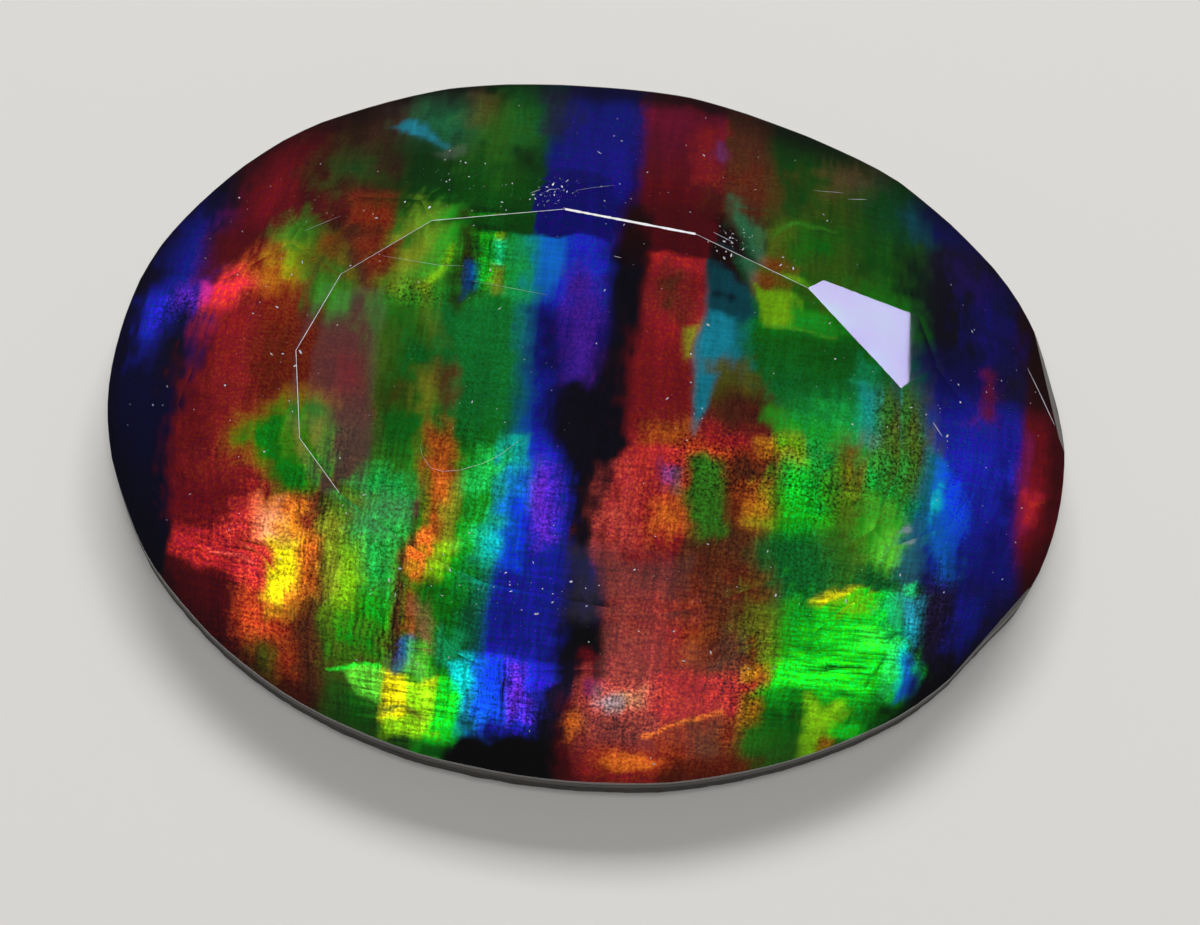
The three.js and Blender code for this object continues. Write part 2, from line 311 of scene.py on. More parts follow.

# Patches where the films change within a band, or where the shell is dull, and a few of painted light: a step
# of painted shade beyond the table's far edge and two painted glints. Each has shade, light, how soft the
# edge is, and the points of the outline.
PATCHES = [
    # left rim
    ("night", 0.06, 0.5, [(-8.9, 5), (-7.6, 5.2), (-7.45, 3.1), (-8.1, 3.1), (-8.5, 3.9)]),
    ("indigo", 0.36, 0.5, [(-9, 1.9), (-9.1, 3), (-8.5, 4.1), (-8.15, 3.2), (-8.1, 1.7)]),
    ("blue", 0.5, 0.4, [(-8.9, 1.9), (-8.8, 2.8), (-8.5, 3.2), (-8.3, 2.2), (-8.35, 1.7)]),
    ("blue", 0.55, 0.35, [(-9.3, 0.3), (-9.45, 1.3), (-8.9, 1.9), (-7.9, 2), (-7.9, 1.15), (-8.7, 1.1),
        (-9, 0.4)]),
    ("blue", 0.95, 0.3, [(-9.2, 0.9), (-9.25, 1.4), (-8.9, 1.5), (-8.75, 1.1), (-9, 0.8)]),
    ("violet", 0.6, 0.25, [(-8.6, 1.35), (-8.5, 1.75), (-7.95, 1.85), (-8, 1.3)]),
    ("night", 0.1, 0.4, [(-8.9, 1.05), (-8.05, 1.1), (-7.95, 0.2), (-8.6, -0.3), (-8.9, 0.2)]),
    ("violet", 0.28, 0.12, [(-8.2, 1), (-7.9, 1), (-7.88, 0.1), (-8.1, -0.2)]),
    # upper left
    ("wine", 0.4, 0.5, [(-7.4, 3.05), (-7.5, 4.1), (-7.2, 4.7), (-6.8, 4.6), (-6.3, 3.9), (-6.5, 3.1)]),
    ("wine", 0.35, 0.45, [(-7.1, 4.6), (-6.7, 4.95), (-6.1, 5), (-6.1, 5.35), (-6.9, 5.3), (-7.4, 4.8)]),
    ("wine", 0.28, 0.3, [(-8.1, 2.1), (-8.1, 3.05), (-6.6, 3), (-7.4, 2.2), (-7.7, 2.05)]),
    ("wine", 0.22, 0.4, [(-6.5, 3.6), (-5.8, 3.6), (-5.8, 4.6), (-6.3, 4.6)]),
    ("rust", 0.62, 0.25, [(-7.9, 1.5), (-7.6, 2.05), (-6.4, 2.95), (-6.1, 2.6), (-6.6, 1.9), (-7.2, 1.5),
        (-7.6, 1.2)]),
    ("garnet", 1, 0.2, [(-7.9, 1.5), (-7.85, 1.9), (-7.5, 2.05), (-6.9, 2.05), (-7.3, 1.65),
        (-7.5, 1.3)]),
    ("magenta", 0.9, 0.12, [(-8.05, 1.5), (-8, 1.92), (-7.85, 1.92), (-7.85, 1.5)]),
    ("amber", 0.68, 0.3, [(-6.95, 2), (-6.6, 2.55), (-6.1, 2.6), (-6, 2.2), (-6.5, 2)]),
    ("lime", 0.72, 0.25, [(-6.55, 2.5), (-6.4, 2.85), (-6.05, 2.85), (-6.1, 2.4), (-6.35, 2.35)]),
    ("moss", 0.48, 0.3, [(-6.6, 2.9), (-6.45, 3.35), (-6.1, 3.35), (-5.7, 2.95), (-6.1, 2.75)]),
    ("moss", 0.28, 0.3, [(-6, 3.3), (-5.8, 3), (-5.75, 2.6), (-6.1, 2.6)]),
    ("leaf", 0.4, 0.35, [(-5.9, 2.5), (-5.3, 2.6), (-5.15, 2.1), (-5.3, 1.6), (-5.75, 1.8)]),
    ("moss", 0.5, 0.3, [(-5.75, 2.2), (-5.4, 2.3), (-5.35, 1.8), (-5.6, 1.75)]),
    ("orange", 0.42, 0.3, [(-5.75, 3), (-5.45, 2.95), (-5.45, 2.55), (-5.75, 2.6)]),
    ("wine", 0.3, 0.2, [(-6, 3.5), (-5.9, 4), (-5.1, 4), (-5.1, 3.55)]),
    ("rust", 0.47, 0.18, [(-5.2, 3.45), (-5.2, 3.9), (-4.35, 3.95), (-4.3, 3.4), (-4.7, 3.3)]),
    ("rust", 0.42, 0.4, [(-5, 2.9), (-4.5, 3.3), (-4.2, 2.9), (-4.3, 2.3), (-4.7, 2.2)]),
    ("olive", 0.26, 0.5, [(-5.8, 4.4), (-5.75, 5.1), (-5.1, 5.1), (-5, 4.4)]),
    ("fern", 0.28, 0.4, [(-5.6, 4.5), (-5.5, 5), (-5.2, 4.9), (-5.2, 4.5)]),
    ("umber", 0.17, 0.5, [(-6, 5.2), (-4.6, 5.3), (-4.4, 6.2), (-5.4, 6)]),
    ("bark", 0.22, 0.4, [(-5, 5.5), (-4.5, 5.6), (-4.4, 6.3), (-4.9, 6.2)]),
    # upper middle, green
    ("sea", 0.36, 0.4, [(-4.3, 5.7), (-4.1, 6.4), (-3.3, 6.5), (-3.2, 5.6), (-3.7, 5.5)]),
    ("green", 0.19, 0.5, [(-4.3, 4.1), (-4.3, 5.3), (-3.4, 5.2), (-3.2, 4.4), (-3.4, 4)]),
    ("teal", 0.5, 0.12, [(-4.75, 5.7), (-4.6, 5.95), (-4.1, 5.9), (-3.8, 5.6), (-3.55, 5.38),
        (-4.2, 5.52)]),
    ("umber", 0.36, 0.3, [(-3.15, 6.1), (-3.1, 6.9), (-2.75, 6.7), (-2.8, 6)]),
    ("moss", 0.36, 0.5, [(-2.95, 5.1), (-2.9, 6.3), (-2.3, 6.4), (-2.1, 5.5), (-2.3, 5)]),
    ("fern", 0.33, 0.4, [(-2.1, 5.5), (-2.2, 6.9), (-1.6, 6.8), (-1.5, 5.6)]),
    ("green", 0.12, 0.3, [(-2.05, 4.9), (-2, 5.35), (-1.7, 5.35), (-1.65, 4.9)]),
    ("night", 0.22, 0.35, [(-1.55, 5.9), (-1.6, 7.1), (-1.2, 7.1), (-1.15, 6)]),
    ("olive", 0.5, 0.2, [(-4, 3.5), (-3.85, 3.84), (-3.5, 3.84), (-3.7, 3), (-4.15, 2.4), (-4.25, 2.8)]),
    ("moss", 0.62, 0.25, [(-3.75, 3.8), (-3.25, 3.8), (-3.15, 3.3), (-3.5, 2.6), (-4.2, 2.2),
        (-4.25, 2.4), (-3.8, 2.8)]),
    ("olive", 0.4, 0.25, [(-4.6, 2.4), (-4.25, 2.5), (-4.2, 2.1), (-4.5, 2)]),
    ("olive", 0.34, 0.4, [(-4.5, 1.4), (-4.1, 1.4), (-4.1, 0.5), (-4.4, 0.5)]),
    ("leaf", 0.55, 0.3, [(-3.5, 3.8), (-3.1, 3.8), (-3.2, 3.1), (-3.4, 3)]),
    ("lime", 0.8, 0.12, [(-3.85, 2.3), (-3.45, 2.9), (-3.35, 3.3), (-3.3, 3.25), (-3.4, 2.7),
        (-3.7, 2.2)]),
    ("olive", 0.14, 0.25, [(-3.1, 3.84), (-2.75, 3.84), (-2.65, 3.2), (-2.55, 2.5), (-2.9, 2.1),
        (-3.3, 2.6), (-3.15, 3.3)]),
    ("azure", 0.42, 0.12, [(-2.9, 3), (-2.72, 3), (-2.62, 2.55), (-2.85, 2.35), (-2.95, 2.6)]),
    ("green", 0.7, 0.2, [(-2.75, 3.6), (-2.35, 3.84), (-2.33, 2.7), (-2.5, 2.6), (-2.62, 3.2)]),
    ("lime", 0.66, 0.1, [(-2.32, 3.84), (-2.17, 3.84), (-2.17, 3.62), (-2.32, 3.62)]),
    ("sea", 0.7, 0.12, [(-2.35, 3.6), (-2.12, 3.6), (-2.12, 3.1), (-2.32, 3.1)]),
    ("olive", 0.5, 0.15, [(-2.35, 3.05), (-2.1, 3.05), (-2.1, 2.5), (-2.3, 2.4)]),
    ("fern", 0.56, 0.2, [(-2.05, 3.84), (-1.8, 3.84), (-1.6, 3.3), (-1.6, 2.4), (-2, 2.4)]),
    ("sea", 0.5, 0.25, [(-1.8, 3.84), (-1.5, 3.84), (-1.5, 2.5), (-1.75, 2.5)]),
    ("azure", 0.7, 0.25, [(-1.45, 3.84), (-1.05, 3.84), (-0.95, 3.1), (-1.2, 2.6), (-1.5, 2.8)]),
    ("indigo", 0.22, 0.35, [(-1.25, 2.2), (-0.8, 2.2), (-0.6, 1.5), (-0.7, 0.7), (-1.1, 1)]),
    ("violet", 0.5, 0.3, [(-0.65, 3), (-0.35, 3), (-0.05, 2.2), (-0.1, 0.9), (-0.5, 0.8), (-0.65, 1.6)]),
    ("moss", 0.44, 0.4, [(-4.6, 1.7), (-4.5, 2.1), (-4, 2.1), (-4, 1.6)]),
    ("olive", 0.38, 0.3, [(-3.85, 2.4), (-3.6, 2.4), (-3.3, 1.3), (-3.5, 1.2)]),
    ("green", 0.28, 0.5, [(-4.2, 0.2), (-4.2, 1.6), (-3.6, 1.4), (-3.5, 0.5)]),
    # upper middle, red
    ("garnet", 0.46, 0.25, [(1.45, 6.95), (2.1, 6.95), (2.12, 4.75), (1.5, 5), (1.4, 6)]),
    ("plum", 0.4, 0.2, [(0.5, 6.95), (2, 7), (2, 6.65), (0.55, 6.5)]),
    ("lilac", 0.42, 0.2, [(1.92, 6.3), (2.1, 6.3), (2.12, 5.8), (1.97, 5.8)]),
    ("wine", 0.13, 0.25, [(1.8, 4.85), (2.2, 4.6), (2.7, 4.2), (2.7, 3.9), (2.1, 3.95)]),
    ("rust", 0.33, 0.5, [(2.2, 5.5), (2.9, 5.5), (3, 4.9), (2.3, 4.8)]),
    ("wine", 0.1, 0.12, [(2.15, 4.2), (2.6, 4.05), (2.95, 3.6), (2.9, 3.35), (2.35, 3.25), (2.13, 3.6)]),
    ("sea", 0.34, 0.2, [(2.35, 4.75), (2.7, 4.5), (3.1, 4.2), (3.15, 3.6), (3, 3.45), (2.7, 3.8),
        (2.45, 4.2)]),
    ("umber", 0.28, 0.3, [(1.25, 3.4), (1.6, 3.4), (1.65, 2.5), (1.3, 2.5)]),
    ("olive", 0.5, 0.12, [(1.82, 2.25), (2.06, 2.35), (2.1, 1.6), (1.88, 1.6)]),
    ("garnet", 0.38, 0.5, [(1.1, 1.6), (2, 1.7), (2, 0.7), (1.2, 0.6)]),
    ("teal", 0.26, 0.12, [(2.13, 3.75), (2.3, 3.6), (2.9, 3.3), (3.25, 2.7), (3, 2.5), (2.13, 2.75)]),
    ("teal", 0.5, 0.12, [(2.18, 2.7), (2.85, 2.6), (2.85, 2), (2.65, 1.4), (2.45, 0.9), (2.2, 1)]),
    ("azure", 0.1, 0.1, [(2.2, 3.08), (2.75, 3.14), (2.75, 3.06), (2.2, 3)]),
    # painted shade: a dark step in the colours just beyond the table's far edge, where less light reaches the
    # shell
    ("leaf", 0.23, 0.04, [(-2.9, 3.84), (-2.9, 4), (-1.6, 4.2), (-1.6, 3.84)]),
    ("indigo", 0.37, 0.05, [(-1.6, 3.83), (-1.58, 4.4), (-1.3, 4.9), (-0.1, 4.9), (0.1, 3.83)]),
    ("wine", 0.26, 0.05, [(0.95, 3.82), (0.85, 4.25), (2.1, 4.1), (2.12, 3.82)]),
    # upper right
    ("olive", 0.34, 0.25, [(3.15, 4.3), (3.55, 4.4), (3.6, 3.6), (3.15, 3.55)]),
    ("orange", 0.42, 0.2, [(3.05, 3.6), (3.5, 3.65), (3.9, 3.35), (3.2, 3.2)]),
    ("lime", 0.56, 0.06, [(3.1, 3.45), (3.35, 3.3), (4.15, 3.2), (4.3, 2.53), (3.38, 2.5), (3.27, 2.95)]),
    ("leaf", 0.5, 0.15, [(4, 3.2), (4.9, 2.7), (5.2, 2.5), (3.9, 2.52)]),
    ("moss", 0.55, 0.05, [(3.38, 2.52), (4.95, 2.46), (4.95, 2.5), (3.38, 2.56)]),
    ("moss", 0.5, 0.06, [(3.25, 4.05), (3.45, 4.32), (3.75, 4.42), (4.5, 4.46), (4.5, 4.5), (3.7, 4.48),
        (3.4, 4.38)]),
    ("orange", 0.3, 0.5, [(4.3, 4), (4.7, 4), (4.8, 3.5), (4.3, 3.6)]),
    ("olive", 0.26, 0.6, [(4.2, 5), (4.3, 5.6), (4.9, 5.6), (4.8, 4.9)]),
    ("bark", 0.36, 0.4, [(4.6, 5.8), (4.7, 6.25), (5.4, 6.1), (5.3, 5.8)]),
    ("green", 0.2, 0.5, [(5.1, 5.5), (5.6, 5.4), (5.6, 4.7), (5.2, 4.8)]),
    ("sea", 0.24, 0.5, [(5.4, 5.9), (6, 5.6), (6.1, 4.6), (5.7, 4.7)]),
    ("green", 0.34, 0.4, [(3.6, 4.3), (4.6, 4.4), (4.8, 3.5), (3.8, 3.7)]),
    ("leaf", 0.25, 0.4, [(4.9, 4.4), (6, 4.3), (6, 3.2), (5.1, 3.5)]),
    ("fern", 0.15, 0.25, [(6.05, 4.3), (6.4, 4.2), (6.4, 3.2), (6.05, 3.3)]),
    ("leaf", 0.28, 0.4, [(4.5, 2.3), (5.6, 2.3), (5.6, 1.7), (4.5, 1.5)]),
    ("teal", 0.26, 0.3, [(6.1, 5.4), (6.5, 5.3), (6.6, 4.7), (6.2, 4.7)]),
    ("night", 0.08, 0.5, [(6.7, 3.7), (7.5, 3.6), (7.6, 2.8), (7.2, 2.1), (6.8, 2.3)]),
    ("indigo", 0.38, 0.5, [(7.7, 2), (7.8, 4.2), (8.2, 4), (8.3, 2.2)]),
    ("violet", 0.26, 0.5, [(7.3, 4.4), (7.6, 4.6), (8, 4.2), (7.6, 4)]),
    ("plum", 0.42, 0.25, [(7.8, 1.05), (7.78, 1.8), (8, 1.85), (8.05, 1.1)]),
    ("night", 0.14, 0.3, [(8.2, 1.5), (8.2, 2.3), (8.75, 2.2), (8.75, 1.55)]),
    ("indigo", 0.5, 0.3, [(8.25, 0.3), (8.3, 1.15), (8.65, 1.1), (8.7, 0.4)]),
    ("indigo", 0.34, 0.4, [(8.1, -2.2), (8.15, -0.3), (8.75, -0.3), (8.85, -2.2)]),
    ("magenta", 0.4, 0.12, [(8.95, -1.1), (8.9, 1), (9.08, 1), (9.08, -1)]),
    ("wine", 0.26, 0.3, [(9.45, -2), (9.45, 1.1), (10, 1.1), (10, -2)]),
    ("garnet", 0.7, 0.2, [(9.05, -0.85), (9.05, -0.3), (9.35, -0.35), (9.3, -0.8)]),
    # middle right
    ("olive", 0.28, 0.4, [(6, 1.2), (6.5, 1.3), (6.8, 0.2), (6.5, -0.6), (6, 0)]),
    ("sea", 0.55, 0.25, [(5.45, 1.4), (5.85, 1.4), (5.85, 0.1), (5.5, 0.1)]),
    ("teal", 0.55, 0.25, [(5.6, 1.3), (5.85, 1.3), (5.85, 0.2), (5.65, 0.2)]),
    ("fern", 0.62, 0.4, [(4.8, 0.1), (4.9, 0.9), (5.4, 0.9), (5.5, 0.2)]),
    ("amber", 0.36, 0.35, [(5.2, 0.1), (5.3, -2), (5.7, -2), (5.7, 0.2)]),
    ("moss", 0.42, 0.35, [(5.2, -1.5), (5.2, -2.8), (5.6, -2.7), (5.7, -1.5)]),
    ("moss", 0.6, 0.25, [(5.95, -2.1), (5.95, -1.5), (6.1, -1), (6.3, -1.3), (6.4, -1.6), (6.15, -2.1)]),
    ("teal", 0.38, 0.2, [(6.3, -1.6), (6.7, -1.5), (6.9, -1.8), (6.8, -2.2), (6.3, -2.2)]),
    ("moss", 0.7, 0.2, [(6, -1.4), (6.28, -1.4), (6.3, -1.85), (6.05, -1.9)]),
    # painted glint: a small pale highlight on the shell
    ("frost", 0.56, 0.05, [(6.34, -1.47), (6.5, -1.4), (6.62, -1.44), (6.5, -1.49)]),
    ("teal", 0.44, 0.15, [(6.75, 0.1), (7, 0.1), (7.05, -1.5), (6.8, -1.5)]),
    ("azure", 0.72, 0.15, [(7, 0), (7.25, 0), (7.35, -1.1), (7.3, -1.9), (7.05, -1.7)]),
    ("cobalt", 0.84, 0.2, [(7.25, -0.2), (7.5, -0.4), (7.6, -1.1), (7.5, -1.7), (7.3, -1.6)]),
    ("cyan", 0.7, 0.12, [(7, -0.6), (7.15, -0.5), (7.2, -0.9), (7.08, -1.3)]),
    ("azure", 0.55, 0.3, [(7.1, -1.1), (7.4, -1.2), (7.7, -2.2), (7.4, -2.2), (7.1, -1.7)]),
    ("umber", 0.3, 0.35, [(2.5, 0.3), (2.6, 1.3), (3.1, 1.35), (3.6, 0.9), (3.7, 0.1), (2.4, 0.05)]),
    ("olive", 0.3, 0.3, [(2.5, 0.9), (2.65, 1.4), (3.3, 1.3), (3.4, 0.9)]),
    ("wine", 0.2, 0.35, [(2.9, 0.8), (3.7, 0.8), (3.9, 0.3), (3, 0.3)]),
    ("garnet", 0.5, 0.2, [(2.3, 0.2), (3.7, 0.15), (3.7, -0.1), (2.3, -0.3)]),
    ("teal", 0.48, 0.1, [(2.2, 1.2), (2.6, 1.2), (2.4, 0.5), (2.25, 0.1), (2.17, -0.1), (2.1, 0.1)]),
    ("orange", 0.58, 0.25, [(1.3, 0.15), (2.05, 0.2), (2.05, -0.3), (1.3, -0.35)]),
    ("red", 0.7, 0.16, [(1, -1.1), (1.2, -0.68), (1.6, -0.45), (2.7, -0.3), (2.7, -0.5), (1.7, -0.62),
        (1.2, -0.9)]),
    ("rust", 0.66, 0.15, [(2.1, -0.3), (3, -0.2), (3, -0.4), (2.1, -0.5)]),
    ("amber", 0.68, 0.2, [(3.6, 0.02), (4.4, 0.08), (4.4, -0.3), (3.7, -0.35)]),
    ("lime", 0.56, 0.15, [(4, 0), (4.45, 0.03), (4.45, -0.28), (4, -0.28)]),
    ("leaf", 0.6, 0.3, [(3.9, 0.5), (4.3, 0.35), (5.1, 0.35), (5.1, 0.2), (4.2, 0.1)]),
    ("brick", 0.68, 0.35, [(0.5, -1.4), (0.9, -1.2), (1.1, -2.2), (0.7, -2.6), (0.5, -2.3)]),
    ("lilac", 0.5, 0.2, [(1.7, -0.9), (1.95, -0.9), (1.95, -1.2), (1.72, -1.2)]),
    ("orange", 0.72, 0.3, [(1.5, -1.6), (1.8, -1.35), (2.2, -1.6), (2.4, -2), (1.9, -2.2), (1.6, -2.1)]),
    ("moss", 0.35, 0.2, [(2.1, -0.6), (2.75, -0.5), (3, -0.9), (3, -1.5), (3.15, -2), (2.7, -2.35),
        (2.4, -2), (2.15, -1.3)]),
    ("umber", 0.22, 0.3, [(3.05, -0.4), (3.85, -0.5), (3.8, -1), (3.1, -1)]),
    ("orange", 0.54, 0.25, [(3.35, -1.1), (3.9, -0.95), (4.05, -1.5), (3.7, -1.9), (3.4, -1.7)]),
    ("amber", 0.68, 0.25, [(3.55, -1.35), (3.85, -1.3), (3.85, -1.7), (3.55, -1.7)]),
    ("green", 0.7, 0.4, [(4.1, -1.6), (4.3, -0.8), (4.9, -0.7), (5.15, -1.4), (4.8, -1.8)]),
    ("fern", 0.34, 0.4, [(3.9, -2.1), (5.1, -2), (5.1, -2.8), (4, -2.8)]),
    ("yellow", 0.88, 0.12, [(4.85, -2.98), (5.15, -2.75), (5.6, -2.62), (5.95, -2.66), (5.5, -2.92),
        (5.1, -3.06)]),
    ("sea", 0.42, 0.15, [(5.5, 1.95), (5.95, 1.95), (5.95, 1.5), (5.5, 1.5)]),
    # left
    ("garnet", 0.53, 0.4, [(-7.75, 1.4), (-7, 1.4), (-7, 0.2), (-7.6, 0.3)]),
    ("wine", 0.28, 0.4, [(-8.1, 0.1), (-7.6, 0.2), (-7.5, -1.2), (-7.9, -2.2), (-8.1, -1.6)]),
    ("red", 0.52, 0.5, [(-7.4, 0.1), (-6.9, 0), (-6.9, -2.2), (-7.4, -2)]),
    ("wine", 0.36, 0.3, [(-8.1, -2.1), (-7.3, -2), (-6.9, -2.3), (-7, -3.1), (-8.1, -2.9)]),
    ("wine", 0.36, 0.3, [(-5.2, 0.7), (-4.75, 0.7), (-4.75, 0), (-5.2, 0.1)]),
    ("amber", 0.5, 0.25, [(-7.1, -1.5), (-6.95, -0.9), (-6.2, -0.3), (-5.6, -0.05), (-5.3, -0.4),
        (-6.3, -1.3), (-6.1, -2.2), (-6.4, -1.7)]),
    ("green", 0.42, 0.22, [(-6.85, -1.3), (-6.7, -0.9), (-6.1, -0.45), (-5.7, -0.25), (-5.4, -0.5),
        (-5.2, -1.2), (-5.2, -1.9), (-5.6, -2.2), (-6, -2.1), (-6.3, -1.6)]),
    ("olive", 0.42, 0.2, [(-5.8, -0.65), (-5.45, -0.75), (-5.4, -1.35), (-5.8, -1.25)]),
    ("amber", 0.6, 0.2, [(-6.3, -2.3), (-5.5, -2.15), (-5.4, -2.4), (-6.3, -2.5)]),
    ("orange", 1, 0.25, [(-6.45, -2.4), (-5.45, -2.3), (-5.35, -3.2), (-5.4, -4.1), (-5.6, -4.6),
        (-6, -4.5), (-6.05, -3.8), (-6.4, -3.4)]),
    ("amber", 0.98, 0.3, [(-6.1, -2.7), (-5.5, -2.6), (-5.3, -3.4), (-5.3, -4.4), (-5.7, -4.55),
        (-6, -3.8)]),
    ("bark", 1, 0.3, [(-6.35, -2.5), (-5.9, -2.5), (-5.85, -3.1), (-6.35, -3.1)]),
    ("yellow", 1, 0.2, [(-6.06, -3.15), (-5.58, -3.1), (-5.45, -3.9), (-5.6, -4.3), (-5.98, -4.25)]),
    ("red", 0.85, 0.3, [(-6.95, -2.6), (-6.4, -2.4), (-6.3, -3.2), (-6.9, -3.2)]),
    ("garnet", 0.68, 0.15, [(-8.1, -3.1), (-7.4, -3.15), (-6.5, -3.2), (-6.05, -3.4), (-6, -4.1),
        (-6.5, -4.1), (-7, -3.95), (-8.1, -3.6)]),
    ("red", 0.86, 0.2, [(-6.65, -3.3), (-6.1, -3.4), (-6.1, -4.05), (-6.6, -4)]),
    ("brick", 0.8, 0.05, [(-7.3, -3.47), (-7, -3.44), (-6.3, -3.55), (-6.3, -3.63), (-7, -3.53)]),
    ("wine", 0.26, 0.2, [(-8.1, -3.7), (-7, -4.05), (-6.6, -4.35), (-6.65, -5.3), (-8.1, -5)]),
    ("rust", 0.74, 0.25, [(-6.6, -4.3), (-6.2, -4), (-5.9, -4.5), (-5.6, -4.8), (-5.6, -5.2),
        (-6.2, -5.3), (-6.6, -5.1)]),
    ("amber", 0.7, 0.15, [(-5.95, -4.45), (-5.5, -4.45), (-5.55, -4.7), (-5.95, -4.7)]),
    ("orange", 0.84, 0.2, [(-5.35, -3.15), (-5.05, -3), (-4.95, -4.1), (-5.3, -4.2)]),
    ("rust", 0.6, 0.3, [(-5.6, -5), (-5.2, -5.1), (-5.2, -5.9), (-5.6, -5.9)]),
    ("olive", 0.28, 0.3, [(-6.1, -5.2), (-5.7, -5.3), (-5.7, -6), (-6.1, -5.8)]),
    ("umber", 0.25, 0.3, [(-5.3, -4.4), (-4.85, -4.4), (-4.8, -6.2), (-5.2, -6.2)]),
    # middle left, green
    ("fern", 0.58, 0.2, [(-4.7, -1.95), (-4.2, -1.55), (-3.5, -1.75), (-3.25, -2.05), (-3.6, -2.3),
        (-4.4, -2.2)]),
    ("fern", 0.5, 0.25, [(-4.4, -2.2), (-3.5, -2.2), (-3.4, -2.8), (-4.2, -2.7)]),
    ("olive", 0.58, 0.25, [(-4.95, -2.5), (-4.5, -2.4), (-4.45, -4.1), (-4.85, -4.1)]),
    ("fern", 0.7, 0.3, [(-4.2, -2.8), (-3.6, -2.8), (-3.5, -3.8), (-4.1, -3.8)]),
    ("green", 0.6, 0.3, [(-4.2, -3.7), (-3.6, -3.7), (-3.5, -4.5), (-4.2, -4.5)]),
    ("green", 0.5, 0.4, [(-4.3, -4.5), (-3.6, -4.5), (-3.5, -5.1), (-4.3, -5.2)]),
    ("lime", 0.74, 0.25, [(-4.55, -3.1), (-4.2, -3.1), (-4.15, -4.2), (-4.5, -4.2)]),
    ("olive", 0.22, 0.3, [(-4.3, 0.3), (-3.9, 0.3), (-3.8, -0.3), (-4.3, -0.3)]),
    ("olive", 0.4, 0.25, [(-3.6, 0.4), (-3.3, 0.5), (-3.15, 0.1), (-3.3, -0.4), (-3.6, -0.3)]),
    ("umber", 0.3, 0.25, [(-3.2, 0.6), (-2.9, 0.7), (-2.85, 0), (-3, -0.3), (-3.15, 0)]),
    ("orange", 0.54, 0.2, [(-3.2, -0.6), (-2.75, -0.5), (-2.5, -1.2), (-2.5, -2.2), (-2.5, -3),
        (-2.7, -3.6), (-3.1, -3.7), (-3.35, -3.2), (-3.1, -2.5), (-3.2, -2), (-3.3, -1)]),
    ("olive", 0.56, 0.2, [(-2.75, -1.8), (-2.5, -1.8), (-2.45, -3), (-2.7, -3.1)]),
    ("lime", 0.84, 0.15, [(-2.85, -2.95), (-2.5, -2.95), (-2.55, -3.5), (-2.8, -3.45)]),
    ("orange", 0.8, 0.2, [(-3.15, -1.45), (-2.85, -1.45), (-2.75, -2.1), (-3, -2.1)]),
    ("orange", 0.94, 0.2, [(-3.28, -2.9), (-2.95, -2.6), (-2.85, -3.3), (-3.05, -3.7)]),
    ("amber", 0.74, 0.12, [(-3.2, -3.15), (-2.95, -3.1), (-2.95, -3.5), (-3.15, -3.5)]),
    ("umber", 0.28, 0.1, [(-3.35, -2.2), (-3.24, -2.3), (-3.32, -3.2), (-3.22, -3.8), (-3.2, -5.2),
        (-3.38, -5.3), (-3.42, -3.2)]),
    ("green", 0.38, 0.2, [(-2.8, -3.6), (-2.4, -3.6), (-2.4, -4.9), (-2.75, -4.9)]),
    ("orange", 0.54, 0.15, [(-3.15, -3.8), (-2.98, -3.8), (-2.88, -4.6), (-3, -4.9), (-3.16, -4.6)]),
    ("fern", 0.7, 0.25, [(-2.4, -1.7), (-1.9, -0.9), (-1.35, -0.75), (-1.25, -1.1), (-1.6, -1.7),
        (-2.1, -1.95)]),
    ("cyan", 0.6, 0.25, [(-1.6, -0.8), (-1.3, -0.75), (-1.2, -1.1), (-1.5, -1.3)]),
    ("leaf", 0.72, 0.2, [(-2.3, -2.4), (-2, -2.4), (-1.95, -3), (-2.25, -3)]),
    ("fern", 0.7, 0.3, [(-2.1, -2.8), (-1.8, -2.3), (-1.5, -2.5), (-1.5, -3.1), (-2, -3.4)]),
    ("cyan", 0.78, 0.25, [(-1.8, -2.6), (-1.45, -2.4), (-1.4, -3.1), (-1.75, -3.2)]),
    ("teal", 0.6, 0.25, [(-1.6, -1.5), (-1.4, -1.4), (-1.35, -2.6), (-1.6, -2.6)]),
    ("azure", 0.84, 0.3, [(-1.42, -1.4), (-1.1, -1.4), (-1, -2), (-1.4, -2.1)]),
    ("cobalt", 0.8, 0.2, [(-1.42, -1.9), (-1.1, -1.9), (-1.05, -2.6), (-1.4, -2.6)]),
    ("violet", 0.74, 0.2, [(-0.92, -1.1), (-0.65, -1.1), (-0.45, -1.8), (-0.45, -2.6), (-0.75, -2.8),
        (-0.88, -2)]),
    ("cobalt", 0.76, 0.2, [(-1.45, -2.6), (-1.05, -2.6), (-1, -3.4), (-1.4, -3.4)]),
    ("sea", 0.3, 0.3, [(-2, -3.4), (-1.65, -3.4), (-1.7, -4.7), (-1.95, -4.7)]),
    # bottom left
    ("moss", 0.8, 0.1, [(-4.3, -5.5), (-3.55, -5.32), (-3.5, -6.2), (-3.9, -6.1)]),
    ("leaf", 0.9, 0.05, [(-4.6, -5.52), (-3.55, -5.3), (-3.55, -5.4), (-4.6, -5.6)]),
    ("green", 0.32, 0.3, [(-4.1, -6.2), (-3.7, -6.3), (-3.6, -6.8), (-4.1, -6.7)]),
    ("yellow", 0.96, 0.1, [(-3.5, -5.4), (-2.9, -5.7), (-2.42, -5.3), (-2.4, -6.5), (-2.6, -6.8),
        (-3.3, -6.85), (-3.5, -6.6)]),
    ("lime", 0.96, 0.15, [(-3, -5.7), (-2.35, -5.4), (-2.22, -6.75), (-3, -6.8), (-2.95, -6.2)]),
    ("lime", 0.84, 0.15, [(-3.45, -6.6), (-2.6, -6.5), (-2.6, -6.95), (-3.35, -7.05)]),
    ("green", 0.36, 0.15, [(-2.6, -6.98), (-1.8, -6.88), (-1.8, -7.3), (-2.6, -7.4)]),
